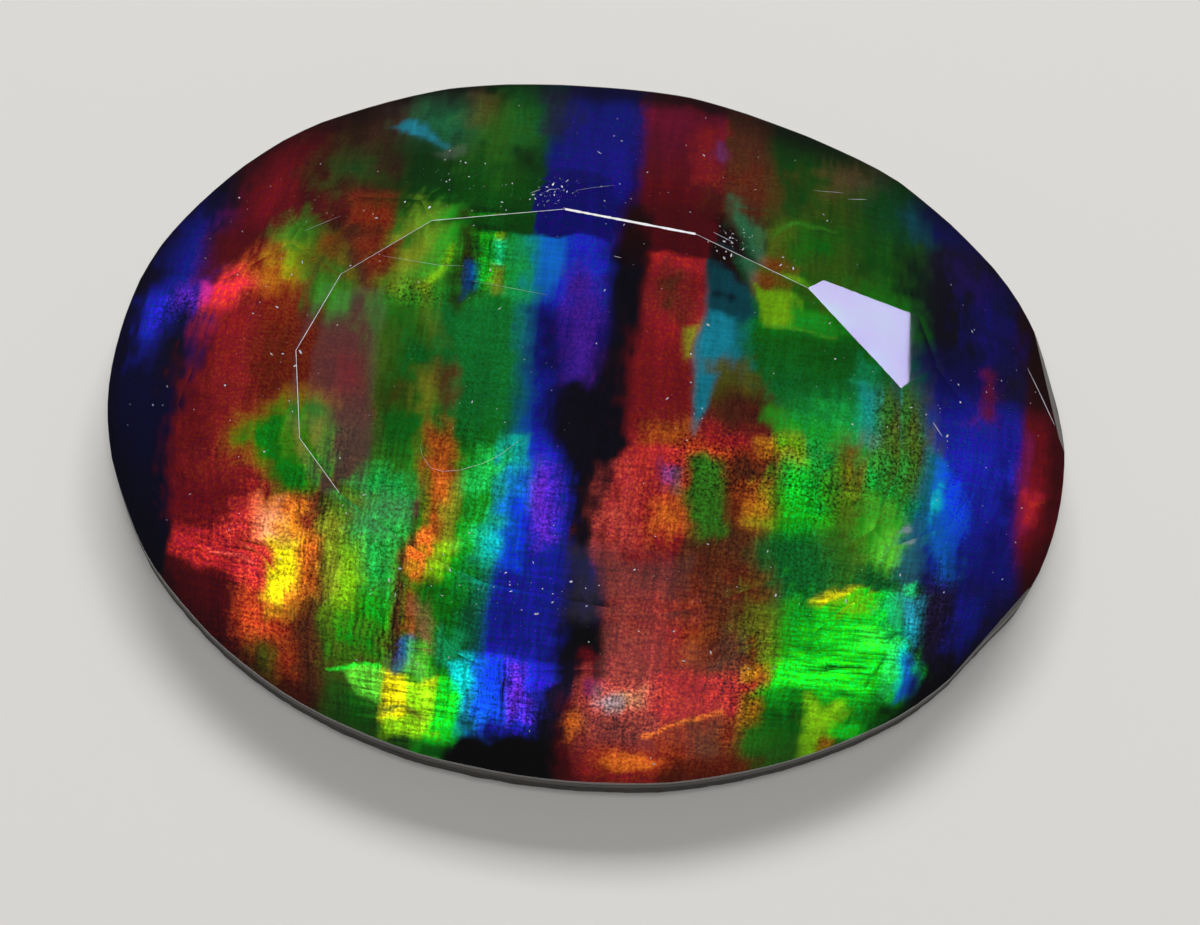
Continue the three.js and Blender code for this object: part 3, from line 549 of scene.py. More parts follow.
    ("olive", 0.55, 0.08, [(-3.5, -6.28), (-2.95, -6.25), (-2.5, -6.5), (-2.6, -6.6), (-3.1, -6.42),
        (-3.5, -6.45)]),
    ("bark", 0.5, 0.2, [(-2.98, -4), (-2.72, -4), (-2.66, -4.8), (-2.92, -4.8)]),
    ("azure", 0.62, 0.18, [(-3.24, -4.95), (-3.02, -4.9), (-3, -5.35), (-3.2, -5.4)]),
    ("moss", 0.78, 0.2, [(-3, -5.05), (-2.6, -5), (-2.6, -5.35), (-3.05, -5.5)]),
    ("sea", 0.52, 0.2, [(-2.45, -4.55), (-2, -4.55), (-2, -5), (-2.4, -5)]),
    ("green", 0.86, 0.12, [(-2.42, -5.3), (-1.85, -5.35), (-1.78, -6.3), (-1.95, -6.65), (-2.4, -6.75),
        (-2.33, -6.2)]),
    ("cyan", 0.84, 0.12, [(-2.22, -4.92), (-1.8, -4.85), (-1.68, -5.3), (-1.75, -5.65), (-2.1, -5.4)]),
    ("teal", 0.52, 0.15, [(-1.75, -5.5), (-1.5, -5.5), (-1.45, -6.4), (-1.75, -6.4)]),
    ("teal", 0.36, 0.12, [(-1.8, -6.25), (-1.4, -6.25), (-1.4, -6.7), (-1.8, -6.7)]),
    ("blue", 0.5, 0.12, [(-1.4, -6.3), (-0.9, -6.3), (-0.9, -6.7), (-1.4, -6.7)]),
    ("cobalt", 0.95, 0.2, [(-1.5, -5.15), (-1.1, -5.05), (-1, -5.7), (-1.1, -6.2), (-1.45, -6.2)]),
    ("violet", 0.86, 0.2, [(-0.92, -5.05), (-0.6, -5.05), (-0.55, -6.2), (-0.85, -6.2)]),
    ("indigo", 0.8, 0.15, [(-0.5, -5), (-0.17, -5), (-0.17, -5.3), (-0.5, -5.4)]),
    ("night", 0.03, 0.12, [(-2, -6.9), (-1.7, -6.64), (-0.6, -6.62), (0.3, -6.5), (0.3, -7.6),
        (-2.2, -7.6)]),
    ("night", 0.03, 0.3, [(0.05, -3.95), (0.85, -3.95), (0.8, -4.75), (-0.1, -4.7)]),
    # bottom middle
    ("wine", 0.3, 0.15, [(0.4, -4.55), (0.85, -4.6), (0.85, -4.95), (0.45, -4.95)]),
    ("magenta", 0.42, 0.15, [(0.65, -5.1), (1, -5.05), (1.05, -5.4), (0.7, -5.5)]),
    ("brick", 0.82, 0.2, [(1.05, -5.1), (1.9, -4.95), (1.95, -5.7), (1.4, -5.9), (0.9, -5.8)]),
    ("bark", 0.72, 0.2, [(1.3, -5.25), (1.8, -5.1), (1.8, -5.6), (1.3, -5.7)]),
    # painted highlight: a pale glint on the shell
    ("glint_white", 0.62, 0.2, [(0.98, -5.38), (1.25, -5.4), (1.4, -5.65), (1.1, -5.75), (0.92, -5.6)]),
    ("wine", 0.26, 0.2, [(0.2, -5.5), (0.5, -5.5), (0.5, -6), (0.62, -6.7), (0.7, -7.4), (0.2, -7.4)]),
    ("orange", 0.76, 0.2, [(0.3, -6), (0.65, -5.9), (0.75, -6.3), (0.45, -6.5)]),
    ("brick", 0.45, 0.3, [(0.8, -5.95), (2, -5.8), (2, -6.4), (0.9, -6.6)]),
    ("rust", 0.6, 0.2, [(0.9, -6.9), (1.2, -6.6), (2, -6.55), (2.6, -6.85), (2, -7.2), (1.1, -7.25)]),
    ("orange", 0.84, 0.1, [(1.1, -6.85), (1.3, -6.68), (1.55, -6.6), (2, -6.68), (2.3, -6.84), (2, -7),
        (1.4, -7.03)]),
    ("garnet", 0.6, 0.1, [(0.8, -7), (1.2, -7.1), (2, -7.08), (1.6, -7.2), (0.8, -7.15)]),
    ("red", 0.6, 0.3, [(2, -3.7), (2.5, -3.7), (2.6, -4.4), (2, -4.5)]),
    ("orange", 0.55, 0.3, [(2.5, -3.8), (2.9, -3.9), (2.8, -4.3), (2.5, -4.3)]),
    ("umber", 0.3, 0.3, [(2.9, -3), (3.6, -3), (3.6, -4.4), (2.95, -4.4)]),
    ("olive", 0.36, 0.3, [(3.6, -3.1), (4.2, -3.2), (4.25, -4.1), (3.6, -4)]),
    ("red", 0.66, 0.15, [(2, -4.75), (2.6, -4.5), (3.2, -4.55), (3.75, -4.95), (3.6, -5.3), (3.2, -5.35),
        (2.6, -5.6), (2, -5.75)]),
    ("garnet", 0.62, 0.25, [(2.4, -4.8), (3.6, -4.75), (3.6, -5.1), (2.5, -5)]),
    ("rust", 0.52, 0.1, [(1.85, -6.12), (2.6, -5.72), (3.25, -5.36), (3.55, -5.5), (3.65, -6.1),
        (3.3, -6.6), (2.3, -6.6)]),
    ("orange", 0.8, 0.06, [(1.8, -6.14), (2.76, -5.58), (3.25, -5.35), (3.3, -5.42), (2.8, -5.68),
        (1.85, -6.2)]),
    ("umber", 0.36, 0.3, [(2.9, -5.8), (3.6, -5.7), (3.7, -6.4), (3.1, -6.5)]),
    ("rust", 0.4, 0.2, [(3, -6.5), (4.3, -6.4), (4.1, -6.85), (2.6, -7.1)]),
    ("amber", 0.74, 0.15, [(3.6, -4.45), (4, -4.38), (4, -4.65), (3.65, -4.7)]),
    ("amber", 0.5, 0.2, [(3.7, -5.1), (4.1, -5.1), (4.15, -5.6), (3.75, -5.7)]),
    # bottom right
    ("green", 0.86, 0.1, [(5, -3.1), (5.5, -2.78), (6.1, -2.55), (6.35, -2.65), (6.3, -3.3), (6.6, -3.7),
        (6.5, -4.1), (6.25, -4.85), (5, -4.87), (4.2, -4.72), (4.2, -4.38), (4.6, -4.1), (5, -3.7)]),
    ("green", 0.62, 0.3, [(4.4, -3.1), (5, -3.05), (5.05, -3.8), (4.5, -3.9)]),
    ("lime", 0.66, 0.15, [(5.3, -2.85), (5.9, -2.75), (5.9, -3), (5.3, -3.1)]),
    ("green", 0.84, 0.15, [(4.6, -3.95), (6.1, -3.8), (6.2, -4.1), (4.6, -4.2)]),
    ("leaf", 1, 0.15, [(5.8, -3.3), (6.4, -3.4), (6.5, -3.8), (5.9, -3.8)]),
    ("green", 1, 0.12, [(4.3, -4.4), (5.6, -4.3), (5.7, -4.5), (5, -4.75), (4.3, -4.7)]),
    ("green", 0.4, 0.04, [(6.5, -3.95), (6.42, -3.95), (6.17, -4.72), (6.22, -4.74)]),
    ("sea", 0.6, 0.25, [(6.15, -2.6), (6.6, -2.6), (6.8, -3.5), (6.5, -3.6), (6.3, -3.2)]),
    ("teal", 0.76, 0.2, [(6.6, -2.6), (7, -2.7), (7.1, -3.5), (6.78, -3.5)]),
    ("sea", 0.7, 0.12, [(6.2, -2.8), (6.45, -2.8), (6.55, -3.3), (6.3, -3.2)]),
    ("sea", 0.76, 0.08, [(6.55, -2.25), (6.87, -2.25), (6.87, -2.57), (6.55, -2.57)]),
    ("fern", 0.9, 0.15, [(6.55, -3.6), (6.8, -3.6), (6.88, -4.1), (6.75, -4.5), (6.45, -4.5)]),
    ("fern", 0.62, 0.12, [(6.5, -4.5), (6.8, -4.5), (6.8, -4.9), (6.4, -4.9)]),
    ("cyan", 0.8, 0.12, [(6.74, -3.65), (6.9, -3.7), (7, -4.2), (6.9, -4.5), (6.8, -4.55), (6.84, -4.2)]),
    ("azure", 0.82, 0.12, [(6.9, -3.85), (7.12, -4), (7.2, -4.5), (6.95, -4.85)]),
    ("blue", 0.4, 0.2, [(7.1, -4), (7.25, -4.1), (7.3, -4.5), (7.1, -4.7)]),
    ("night", 0.17, 0.4, [(7.2, -2.6), (7.9, -2.6), (7.8, -3.8), (7.35, -3.9)]),
    ("indigo", 0.26, 0.3, [(7.9, -2.4), (8.8, -2.2), (8.8, -2.9), (8.2, -3.9), (7.9, -3.6)]),
    ("blue", 0.42, 0.25, [(7.95, -2.5), (8.45, -2.4), (8.5, -3.3), (8.1, -3.8), (7.95, -3.5)]),
    ("green", 0.28, 0.35, [(4.75, -5), (5.25, -5), (5.2, -5.9), (4.8, -5.9)]),
    ("lime", 0.76, 0.2, [(5.1, -5.1), (5.8, -5.1), (5.8, -5.6), (5.15, -5.7)]),
    ("lime", 0.8, 0.2, [(5.1, -5.7), (5.6, -5.7), (5.5, -6.3), (5.1, -6.4)]),
    ("amber", 0.62, 0.12, [(5.5, -5.85), (5.8, -5.8), (5.7, -6.1), (5.45, -6.2)]),
    ("green", 0.82, 0.15, [(5.7, -5.45), (6.4, -5.35), (6.3, -5.75), (5.7, -5.85)]),
    ("green", 0.18, 0.2, [(6.45, -4.98), (7.2, -4.85), (7.2, -5.4), (6.5, -5.3)]),
]

# Painted reflection: where a pale veil of reflected light lies over the shell. How strong it is, how soft,
# and the points of the outline.
REFLECTED_VEIL = [
    (0.016, 0.15, [(-5.4, 2.2), (-5.9, 0.9), (-5.8, -0.9), (-5, -2.1), (-4.4, -2.1), (-4.5, 2.2)]),
    (0.03, 0.5, [(-4.4, -2.1), (-3.5, -2.1), (-3.4, -2.7), (-4.3, -2.8)]),
    (0.012, 0.6, [(-0.1, -2.8), (0.6, -2.7), (2.6, -2.8), (2.6, -3.8), (0.1, -3.8)]),
    (0.012, 0.5, [(0.9, -4), (3.6, -4), (3.4, -6.4), (0.6, -6.4)]),
    (0.014, 0.25, [(2.3, 4.8), (3.1, 4.2), (3.15, 3.5), (2.9, 3.6), (2.4, 4.2)]),
    (0.02, 0.2, [(2.85, 3.75), (3.1, 3.75), (3.12, 3.45), (2.9, 3.45)]),
    (0.01, 0.4, [(6.2, -1.4), (6.8, -1.3), (7, -3.2), (6.4, -3.2)]),
    (0.006, 0.6, [(-4.6, 5.4), (-5, 6.4), (-3, 7.2), (-3.2, 5)]),
    (0.02, 0.15, [(-3.5, -5.15), (-2.7, -5.15), (-2.7, -5.5), (-3.5, -5.5)]),
    (0.03, 0.15, [(-3.8, 5.12), (-3.5, 5.33), (-3.3, 5.35), (-3.2, 5.15), (-3.3, 4.95), (-3.5, 5)]),
]

# How strongly the fine texture shows: middle x and y, half sizes, fade, then the strength of the upright
# lines, the level lines and the grain. Elsewhere it is faint.
TEXTURE_FAINT = (0.1, 0.1, 0.2)
TEXTURE_ZONES = [
    (0, -3.5, 10.5, 4.2, 0.5, 0.3, 0.22, 0.45),
    (-5, -3, 0.6, 3.2, 0.6, 0.65, 0.15, 0.7), (-4, -3.6, 1.4, 2.4, 0.6, 0.42, 0.15, 0.6),
    (-3.35, -4.6, 0.35, 1.6, 0.8, 0.9, 0.2, 0.8), (-2.9, -6.2, 1.5, 1.1, 0.5, 0.35, 0.6, 0.5),
    (-6.6, -3.4, 1.5, 1.2, 0.8, 0.2, 0.5, 0.6), (-6.3, -5.2, 1.4, 1.2, 0.8, 0.4, 0.4, 0.5),
    (-1, -5.8, 1.2, 1.3, 0.6, 0.6, 0.4, 0.8), (1.4, -5.6, 1.4, 1.2, 0.8, 0.3, 0.2, 0.9),
    (3.6, -4.6, 0.8, 2, 0.8, 0.5, 0.3, 0.9), (5.6, -4, 1.5, 1.5, 0.5, 0.12, 0.62, 0.3),
    (7.3, -2.8, 0.9, 1.8, 0.8, 0.5, 0.5, 0.8), (4.6, -0.7, 2.6, 1.2, 0.8, 0.35, 0.3, 0.9),
    (6.2, 0.2, 0.6, 1.4, 0.8, 0.25, 0.15, 1), (2.6, -0.7, 1.2, 1.2, 0.8, 0.2, 0.3, 0.9),
    (-3.9, 2.3, 1, 0.5, 0.8, 0.3, 0.3, 0.9), (-2.7, 3.2, 0.9, 0.9, 0.6, 0.5, 0.4, 0.6),
    (-8.6, 1.3, 0.9, 0.7, 0.8, 0.3, 0.2, 0.9),
]


def along(points, heights):
    """A value given at a few heights, at each of the heights asked for."""
    places, values = zip(*sorted(points))
    return np.interp(heights, places, values)


def shade_light(shade, light):
    """A shade's linear colour, as bright as light in display steps."""
    return np.array(linear(SHADES[shade])[:3]) * light ** 2.2


def inside(points, x, y):
    """How far each place is inside an outline, in mm, and less than 0 outside it."""
    nearest, within = np.full(x.shape, np.inf), np.zeros(x.shape, bool)
    for (ax, ay), (bx, by) in zip(points, points[1:] + points[:1]):
        along_x, along_y = bx - ax, by - ay
        share = np.clip(((x - ax) * along_x + (y - ay) * along_y) / (along_x ** 2 + along_y ** 2), 0, 1)
        nearest = np.minimum(nearest, np.hypot(x - ax - share * along_x, y - ay - share * along_y))
        if ay != by:
            within ^= ((ay > y) != (by > y)) & (x < ax + (y - ay) * along_x / along_y)
    return np.where(within, nearest, -nearest)


def shell_colours(x, y):
    """The sheet's linear colour and its painted reflection, a pale veil, at each place. The outlines are bent
    by coarse, middling and fine clouds, and their edges are ragged, because nothing in the shell is straight."""
    bent_x = x + 0.08 * cloud(x, y, 0.7, 0.9, 1) + 0.04 * cloud(x, y, 0.25, 0.6, 8)
    bent_x += 0.03 * cloud(x, y, 0.09, 0.8, 2)
    bent_y = y + 0.12 * cloud(x, y, 0.6, 0.7, 3) + 0.06 * cloud(x, y, 0.3, 0.3, 9)
    bent_y += 0.04 * cloud(x, y, 0.7, 0.09, 4)
    ragged = 0.6 * cloud(x, y, 0.22, 0.22, 5) + 0.6 * cloud(x, y, 0.08, 0.3, 6)
    rgb, veil = np.zeros((*x.shape, 3)), np.zeros_like(x)
    for soft, edge, tones in BANDS:
        share = np.ones_like(x)
        if edge is not None:
            share = eased((bent_x - along(edge, bent_y)) / (soft + soft * soft) + 0.5 + 0.2 * ragged)
        lights = [(height, shade_light(shade, light)) for height, shade, light in tones]
        for i in range(3):
            tone = along([(height, colour[i]) for height, colour in lights], bent_y)
            rgb[..., i] += (tone - rgb[..., i]) * share
    for shade, light, soft, points in PATCHES:
        wide = 1.3 * soft + 4.5 * soft * soft  # mm, so the softest edges spread the most
        share = eased(inside(points, bent_x, bent_y) / wide + 0.5 + 0.3 * ragged)
        rgb += (shade_light(shade, light) - rgb) * share[..., None]
    for veil_strength, soft, points in REFLECTED_VEIL:
        veil += veil_strength * eased(inside(points, bent_x, bent_y) / soft + 0.5 + 0.3 * ragged)
    return rgb, veil


def shell_texture(x, y):
    """How strongly upright lines, level lines and grain show at each place."""
    strengths = np.zeros((*x.shape, 3)) + TEXTURE_FAINT
    for middle_x, middle_y, half_x, half_y, fade, *wanted in TEXTURE_ZONES:
        away = np.hypot((x - middle_x) / half_x, (y - middle_y) / half_y)
        share = eased((1 - away + 0.2 * cloud(x, y, 0.5, 0.5, 7)) / fade)
        strengths += (np.array(wanted) - strengths) * share[..., None]
    return strengths


sheet_low, sheet_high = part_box("ammolite_sheet")
sheet_foot, sheet_top = sheet_low.z / MM, sheet_high.z / MM
steps = 4 * GRID
outline = oval_of("ammolite_sheet", steps)
outline_angles = np.linspace(-np.pi, np.pi, steps, endpoint=False)
outline_reach = np.hypot(outline[:, 0], outline[:, 1])

# The face is a square net of cells, eased into a disc and then into the oval.
u, v = np.meshgrid(np.linspace(-1, 1, GRID + 1), np.linspace(-1, 1, GRID + 1))
disc_x = u * np.sqrt(1 - v * v / 2)
disc_y = v * np.sqrt(1 - u * u / 2)
half_long, half_wide = sheet_high.x / MM, sheet_high.y / MM
oval_x, oval_y = disc_x * half_long, disc_y * half_wide
angle = np.arctan2(oval_y, oval_x)
plain_reach = 1 / np.sqrt((np.cos(angle) / half_long) ** 2 + (np.sin(angle) / half_wide) ** 2)
true_reach = np.interp(angle, outline_angles, outline_reach, period=2 * np.pi) - SHEET_EDGE
oval_x *= true_reach / plain_reach
oval_y *= true_reach / plain_reach
face = np.c_[oval_x.ravel(), oval_y.ravel(), np.full(u.size, sheet_top + SHEET_LIFT)]
number = np.arange(u.size).reshape(u.shape)
rim = np.concatenate([number[0, :-1], number[:-1, -1], number[-1, :0:-1], number[:0:-1, 0]])
faces = [
    (number[j, i], number[j, i + 1], number[j + 1, i + 1], number[j + 1, i])
    for j in range(GRID)
    for i in range(GRID)
]
face_count = len(faces)
rim_angle = np.arctan2(face[rim, 1], face[rim, 0])
rim_reach = np.interp(rim_angle, outline_angles, outline_reach, period=2 * np.pi)
walls = []
for height, inset in [*((sheet_top - under, inset) for under, inset in LEDGES), (sheet_foot, FOOT_IN)]:
    walls.append(np.c_[(rim_reach - inset) * np.cos(rim_angle), (rim_reach - inset) * np.sin(rim_angle),
                       np.full(len(rim), height)])
rings = [rim] + [u.size + k * len(rim) + np.arange(len(rim)) for k in range(len(walls))]
for upper, lower in zip(rings, rings[1:]):
    for i in range(len(rim)):
        n = (i + 1) % len(rim)
        faces.append((upper[i], lower[i], lower[n], upper[n]))
faces.append(tuple(reversed(rings[-1].tolist())))

# Iridescent aragonite, ground and wet with resin: clear spectral colour from thin films, which gathers in
# growth lines along and across the shell and in fine bright grains. It is lit from in front, and it also
# glows: that glow is painted light, an emission of the films' own colour although the shell is no lamp.
# Glue covers it, so its IOR is only the small step from glue to shell.
ammolite, tree, output = new_material("iridescent_shell")
place = add_node(tree, "ShaderNodeTexCoord").outputs["Object"]
to_mm = {0: place, 1: (1 / MM,) * 3}
in_mm = add_node(tree, "ShaderNodeVectorMath", to_mm, operation="MULTIPLY").outputs[0]
colour = add_node(tree, "ShaderNodeAttribute", attribute_name="film_colour")
reflected_veil = add_node(tree, "ShaderNodeAttribute", attribute_name="reflected_veil")


def drawn_out(across, along_it, turn, detail):
    """Noise from -1 to 1 in streaks: how many to a millimetre along X and Y, and their turn in degrees."""
    turned = add_node(tree, "ShaderNodeMapping", {"Vector": wandering, "Rotation": (0, 0, math.radians(turn)),
                                                  "Scale": (across, along_it, 1.0)})
    noise = add_node(tree, "ShaderNodeTexNoise", {"Vector": turned.outputs[0], "Scale": 1.0, "Detail": detail,
                                                  "Roughness": 0.6})
    return add_node(tree, "ShaderNodeMapRange", {"Value": noise.outputs["Fac"], "From Min": 0.33,
                                                 "From Max": 0.67, "To Min": -1.0}, clamp=False).outputs[0]


def lit_by(light, amount, pattern, most):
    """The light times 1 plus a pattern, as strong as an amount that varies over the shell says."""
    strength = add_node(tree, "ShaderNodeMath", {0: amount, 1: most}, operation="MULTIPLY").outputs[0]
    varied = add_node(tree, "ShaderNodeMath", {0: strength, 1: pattern, 2: 1.0}, operation="MULTIPLY_ADD")
    return add_node(tree, "ShaderNodeMath", {0: light, 1: varied.outputs[0]}, operation="MULTIPLY").outputs[0]


bend = add_node(tree, "ShaderNodeTexNoise", {"Vector": in_mm, "Scale": BENDS_TO_A_MM, "Detail": 2.0})
bend_mm = add_node(tree, "ShaderNodeVectorMath", {0: bend.outputs["Color"], 1: BEND_BY},
                   operation="MULTIPLY")
wandering = add_node(tree, "ShaderNodeVectorMath", {0: in_mm, 1: bend_mm.outputs[0]}).outputs[0]
strengths = add_node(tree, "ShaderNodeAttribute", attribute_name="texture")
amounts = add_node(tree, "ShaderNodeSeparateColor", {0: strengths.outputs["Color"]}).outputs
upright_lines = drawn_out(NOISE_REPEAT / GROWTH_PITCH, 0.9, 3, 3.0)
level_lines = drawn_out(1.1, NOISE_REPEAT / GROWTH_PITCH, -4, 3.0)
grains = drawn_out(GLINTS_TO_A_MM, GLINTS_TO_A_MM, 0, 2.0)
silk = drawn_out(3.2, 0.45, 2, 2.0)  # broad streaks, as in silk
light = lit_by(1.0, 1.0, silk, SILKY)
light = lit_by(light, amounts[0], upright_lines, LINED)
light = lit_by(light, amounts[1], level_lines, LINED)
light = lit_by(light, amounts[2], grains, GRAINY)
light = add_node(tree, "ShaderNodeMath", {0: light, 1: DULLEST}, operation="MAXIMUM").outputs[0]
shift = add_node(tree, "ShaderNodeMapRange",
                 {"Value": grains, "From Min": -1.0, "To Min": 0.488, "To Max": 0.512})
tuned = add_node(tree, "ShaderNodeHueSaturation", {"Color": colour.outputs["Color"], "Hue": shift.outputs[0],
                                                   "Value": light})
# Painted reflection: the pale veil is added to the shell's colour as grey.
grey = add_node(tree, "ShaderNodeCombineXYZ", {0: reflected_veil.outputs["Fac"], 1: reflected_veil.outputs["Fac"],
                                               2: reflected_veil.outputs["Fac"]})
shell = add_node(tree, "ShaderNodeMix", {0: 1.0, 6: tuned.outputs[0], 7: grey.outputs[0]},
                 data_type="RGBA", blend_type="ADD")
pigment = add_node(tree, "ShaderNodeVectorMath", {0: shell.outputs[2], 1: (PIGMENT,) * 3},
                   operation="MULTIPLY")
# Painted light: the emission makes the shell glow, though it is no lamp.
surface = add_node(tree, "ShaderNodeBsdfPrincipled",
                   {"Base Color": pigment.outputs[0], "Roughness": 0.45, "IOR": 1.03,
                    "Emission Color": shell.outputs[2], "Emission Strength": PAINTED_GLOW})
tree.links.new(surface.outputs[0], output.inputs[0])

# The shell's cut edge: fine brown-grey layers with hardly any colour, because the films are seen end on.
cut_edge, tree, output = new_material("cut_shell_edge")
place = add_node(tree, "ShaderNodeTexCoord").outputs["Object"]
to_layers = {0: place, 1: (WAVES_TO_A_MM / MM, WAVES_TO_A_MM / MM, LAYERS_TO_A_MM / MM)}
layers = add_node(tree, "ShaderNodeVectorMath", to_layers, operation="MULTIPLY").outputs[0]
layered = add_node(tree, "ShaderNodeTexNoise", {"Vector": layers, "Scale": 1.0, "Detail": 4.0})
tone = add_node(tree, "ShaderNodeValToRGB", {"Fac": layered.outputs["Fac"]})
dark_end, pale_end = tone.color_ramp.elements
dark_end.position, dark_end.color = 0.35, linear(EDGE_DARK)
pale_end.position, pale_end.color = 0.7, linear(EDGE_PALE)
surface = add_node(tree, "ShaderNodeBsdfPrincipled", {"Base Color": tone.outputs[0], "Roughness": 0.5})
tree.links.new(surface.outputs[0], output.inputs[0])

sheet = new_piece("shell_sheet", np.concatenate([face, *walls]), faces, [ammolite, cut_edge])
rgb, veil_value = shell_colours(face[:, 0], face[:, 1])
wall_count = len(rim) * len(walls)
from_rim = (true_reach - np.hypot(oval_x, oval_y)).ravel()
# Painted shade: the shell's colour darkens towards its rim.
rgb *= (RIM_SHADE_LIGHT + (1 - RIM_SHADE_LIGHT) * eased(from_rim / RIM_SHADE_WIDTH))[:, None]
rgba = np.ones((len(face) + wall_count, 4), np.float32)
rgba[:len(face), :3] = np.clip(rgb, 0, BRIGHTEST)
sheet.data.attributes.new("film_colour", "FLOAT_COLOR", "POINT").data.foreach_set("color", rgba.ravel())
rgba[:len(face), :3] = shell_texture(face[:, 0], face[:, 1])
sheet.data.attributes.new("texture", "FLOAT_COLOR", "POINT").data.foreach_set("color", rgba.ravel())
grey_value = np.zeros(len(face) + wall_count, np.float32)
grey_value[:len(face)] = veil_value
sheet.data.attributes.new("reflected_veil", "FLOAT", "POINT").data.foreach_set("value", grey_value)
sheet.data.polygons.foreach_set("material_index", [0] * face_count + [1] * (len(faces) - face_count))
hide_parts("ammolite_sheet")
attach(sheet, "root")

# Quartz crown
# A cap of clear rock crystal that magnifies the shell and takes the wear for it. It is cut and polished by
# hand, so its facets are uneven, and handling has dulled their edges. Their pale frosted strips are partly
# painted highlight, standing in for the edges' glints, and are widest at the far side.

QUARTZ_IOR = 1.544
GIRDLE_WEAR = 0.03  # mm, the width of its rounded outer edge
# The frosted white is partly painted highlight, for the glints along the crown's edges.
FROSTED_GLINT_WHITE, GROUND_GREY = "#F6F4F8", "#6E6A66"
CHIPS_TO_A_MM = 9
GRIT = 0.05  # mm, the grain of the grinding wheel
MERGE_WITHIN = 0.002  # mm
FLAT_WITHIN = 0.6  # degrees, between triangles of one facet
SMALLEST_KNOCK = 0.02 * MM ** 2  # larger than any face of the rounded edge
WEAR_AND_GLINT, GROUND = 1, 2  # places in the crown's list of materials, after the polished quartz

# Rock crystal, polished: no colour, and a slight haze of fine handling marks.
quartz, tree, output = new_material("polished_rock_crystal")
surface = add_node(tree, "ShaderNodeBsdfPrincipled",
                   {"Base Color": (1, 1, 1, 1), "Roughness": 0.015, "IOR": QUARTZ_IOR,
                    "Transmission Weight": 1.0})
tree.links.new(surface.outputs[0], output.inputs[0])

# Worn quartz: the same crystal, frosted by tiny chips, and partly a painted highlight: its pale white stands
# in for the glints along the crown's edges, so it shows bright whichever way it faces.
wear_and_glint, tree, output = new_material("worn_quartz_edge_and_glint")
place = add_node(tree, "ShaderNodeTexCoord").outputs["Object"]
chipping = add_node(tree, "ShaderNodeTexNoise", {"Vector": place, "Scale": CHIPS_TO_A_MM / MM, "Detail": 3.0})
frost = add_node(tree, "ShaderNodeMapRange",
                 {"Value": chipping.outputs["Fac"], "From Min": 0.35, "From Max": 0.7,
                  "To Min": 0.12, "To Max": 0.45})
surface = add_node(tree, "ShaderNodeBsdfPrincipled",
                   {"Base Color": linear(FROSTED_GLINT_WHITE), "Roughness": frost.outputs[0], "IOR": QUARTZ_IOR,
                    "Transmission Weight": 0.1})
tree.links.new(surface.outputs[0], output.inputs[0])

# Ground quartz: the same crystal where it is ground and not polished, a cloudy grey with a fine grain.
ground, tree, output = new_material("ground_quartz_girdle")
place = add_node(tree, "ShaderNodeTexCoord").outputs["Object"]
grit = add_node(tree, "ShaderNodeTexNoise", {"Vector": place, "Scale": 1 / (GRIT * MM), "Detail": 3.0})
grinding = add_node(tree, "ShaderNodeMapRange",
                    {"Value": grit.outputs["Fac"], "From Min": 0.35, "From Max": 0.65,
                     "To Min": 0.35, "To Max": 0.6})
surface = add_node(tree, "ShaderNodeBsdfPrincipled",
                   {"Base Color": linear(GROUND_GREY), "Roughness": grinding.outputs[0], "IOR": QUARTZ_IOR,
                    "Transmission Weight": 0.5})
tree.links.new(surface.outputs[0], output.inputs[0])


def solid_copy(node):
    """A CAD node's mesh as one merged solid with whole flat faces, in millimetres."""
    shape = bmesh.new()
    shape.from_mesh(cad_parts[node].data)
    bmesh.ops.scale(shape, vec=(1 / MM,) * 3, verts=shape.verts)
    bmesh.ops.remove_doubles(shape, verts=shape.verts, dist=MERGE_WITHIN)
    flat = math.radians(FLAT_WITHIN)
    bmesh.ops.dissolve_limit(shape, angle_limit=flat, verts=shape.verts, edges=shape.edges)
    return shape


def baked(piece):
    """The piece's mesh with its modifiers worked in, scaled from millimetres to metres."""
    bpy.context.view_layer.update()
    mesh = bpy.data.meshes.new_from_object(piece.evaluated_get(bpy.context.evaluated_depsgraph_get()))
    piece.modifiers.clear()
    mesh.transform(Matrix.Scale(MM, 4))
    piece.data = mesh
    return mesh


shape = solid_copy("crystal_cap")
wear = shape.edges.layers.float.new("bevel_weight_edge")
table_edges = []
for edge in shape.edges:
    tilts = sorted(f.normal.z for f in edge.link_faces)
    edge[wear] = float(abs(tilts[0]) < 0.01 and tilts[-1] > 0.3)  # between the upright band and a facet
    if tilts[-1] > 0.999 and 0.2 < tilts[0] < 0.99:  # between the table and a facet
        table_edges.append([tuple(corner.co.xy) for corner in edge.verts])
mesh = bpy.data.meshes.new("cut_crown")
shape.to_mesh(mesh)
shape.free()
for material in (quartz, wear_and_glint, ground):
    mesh.materials.append(material)
crown = bpy.data.objects.new("cut_crown", mesh)
bpy.context.scene.collection.objects.link(crown)
# The rounded girdle edge takes the worn material: wear, and partly a painted highlight along the girdle.
bevel = crown.modifiers.new("wear", "BEVEL")
bevel.limit_method = "WEIGHT"
bevel.width = GIRDLE_WEAR
bevel.offset_type = "WIDTH"
bevel.segments = 2
bevel.material = WEAR_AND_GLINT
bevel.use_clamp_overlap = True
mesh = baked(crown)
for polygon in mesh.polygons:
    band = abs(polygon.normal.z) < 0.02
    knock = 0.4 < polygon.normal.z < 0.55 and polygon.area > SMALLEST_KNOCK
    if band or knock:
        polygon.material_index = GROUND
crown.visible_shadow = False  # light passes on to the shell, as it does through clear crystal
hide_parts("crystal_cap")
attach(crown, "root")

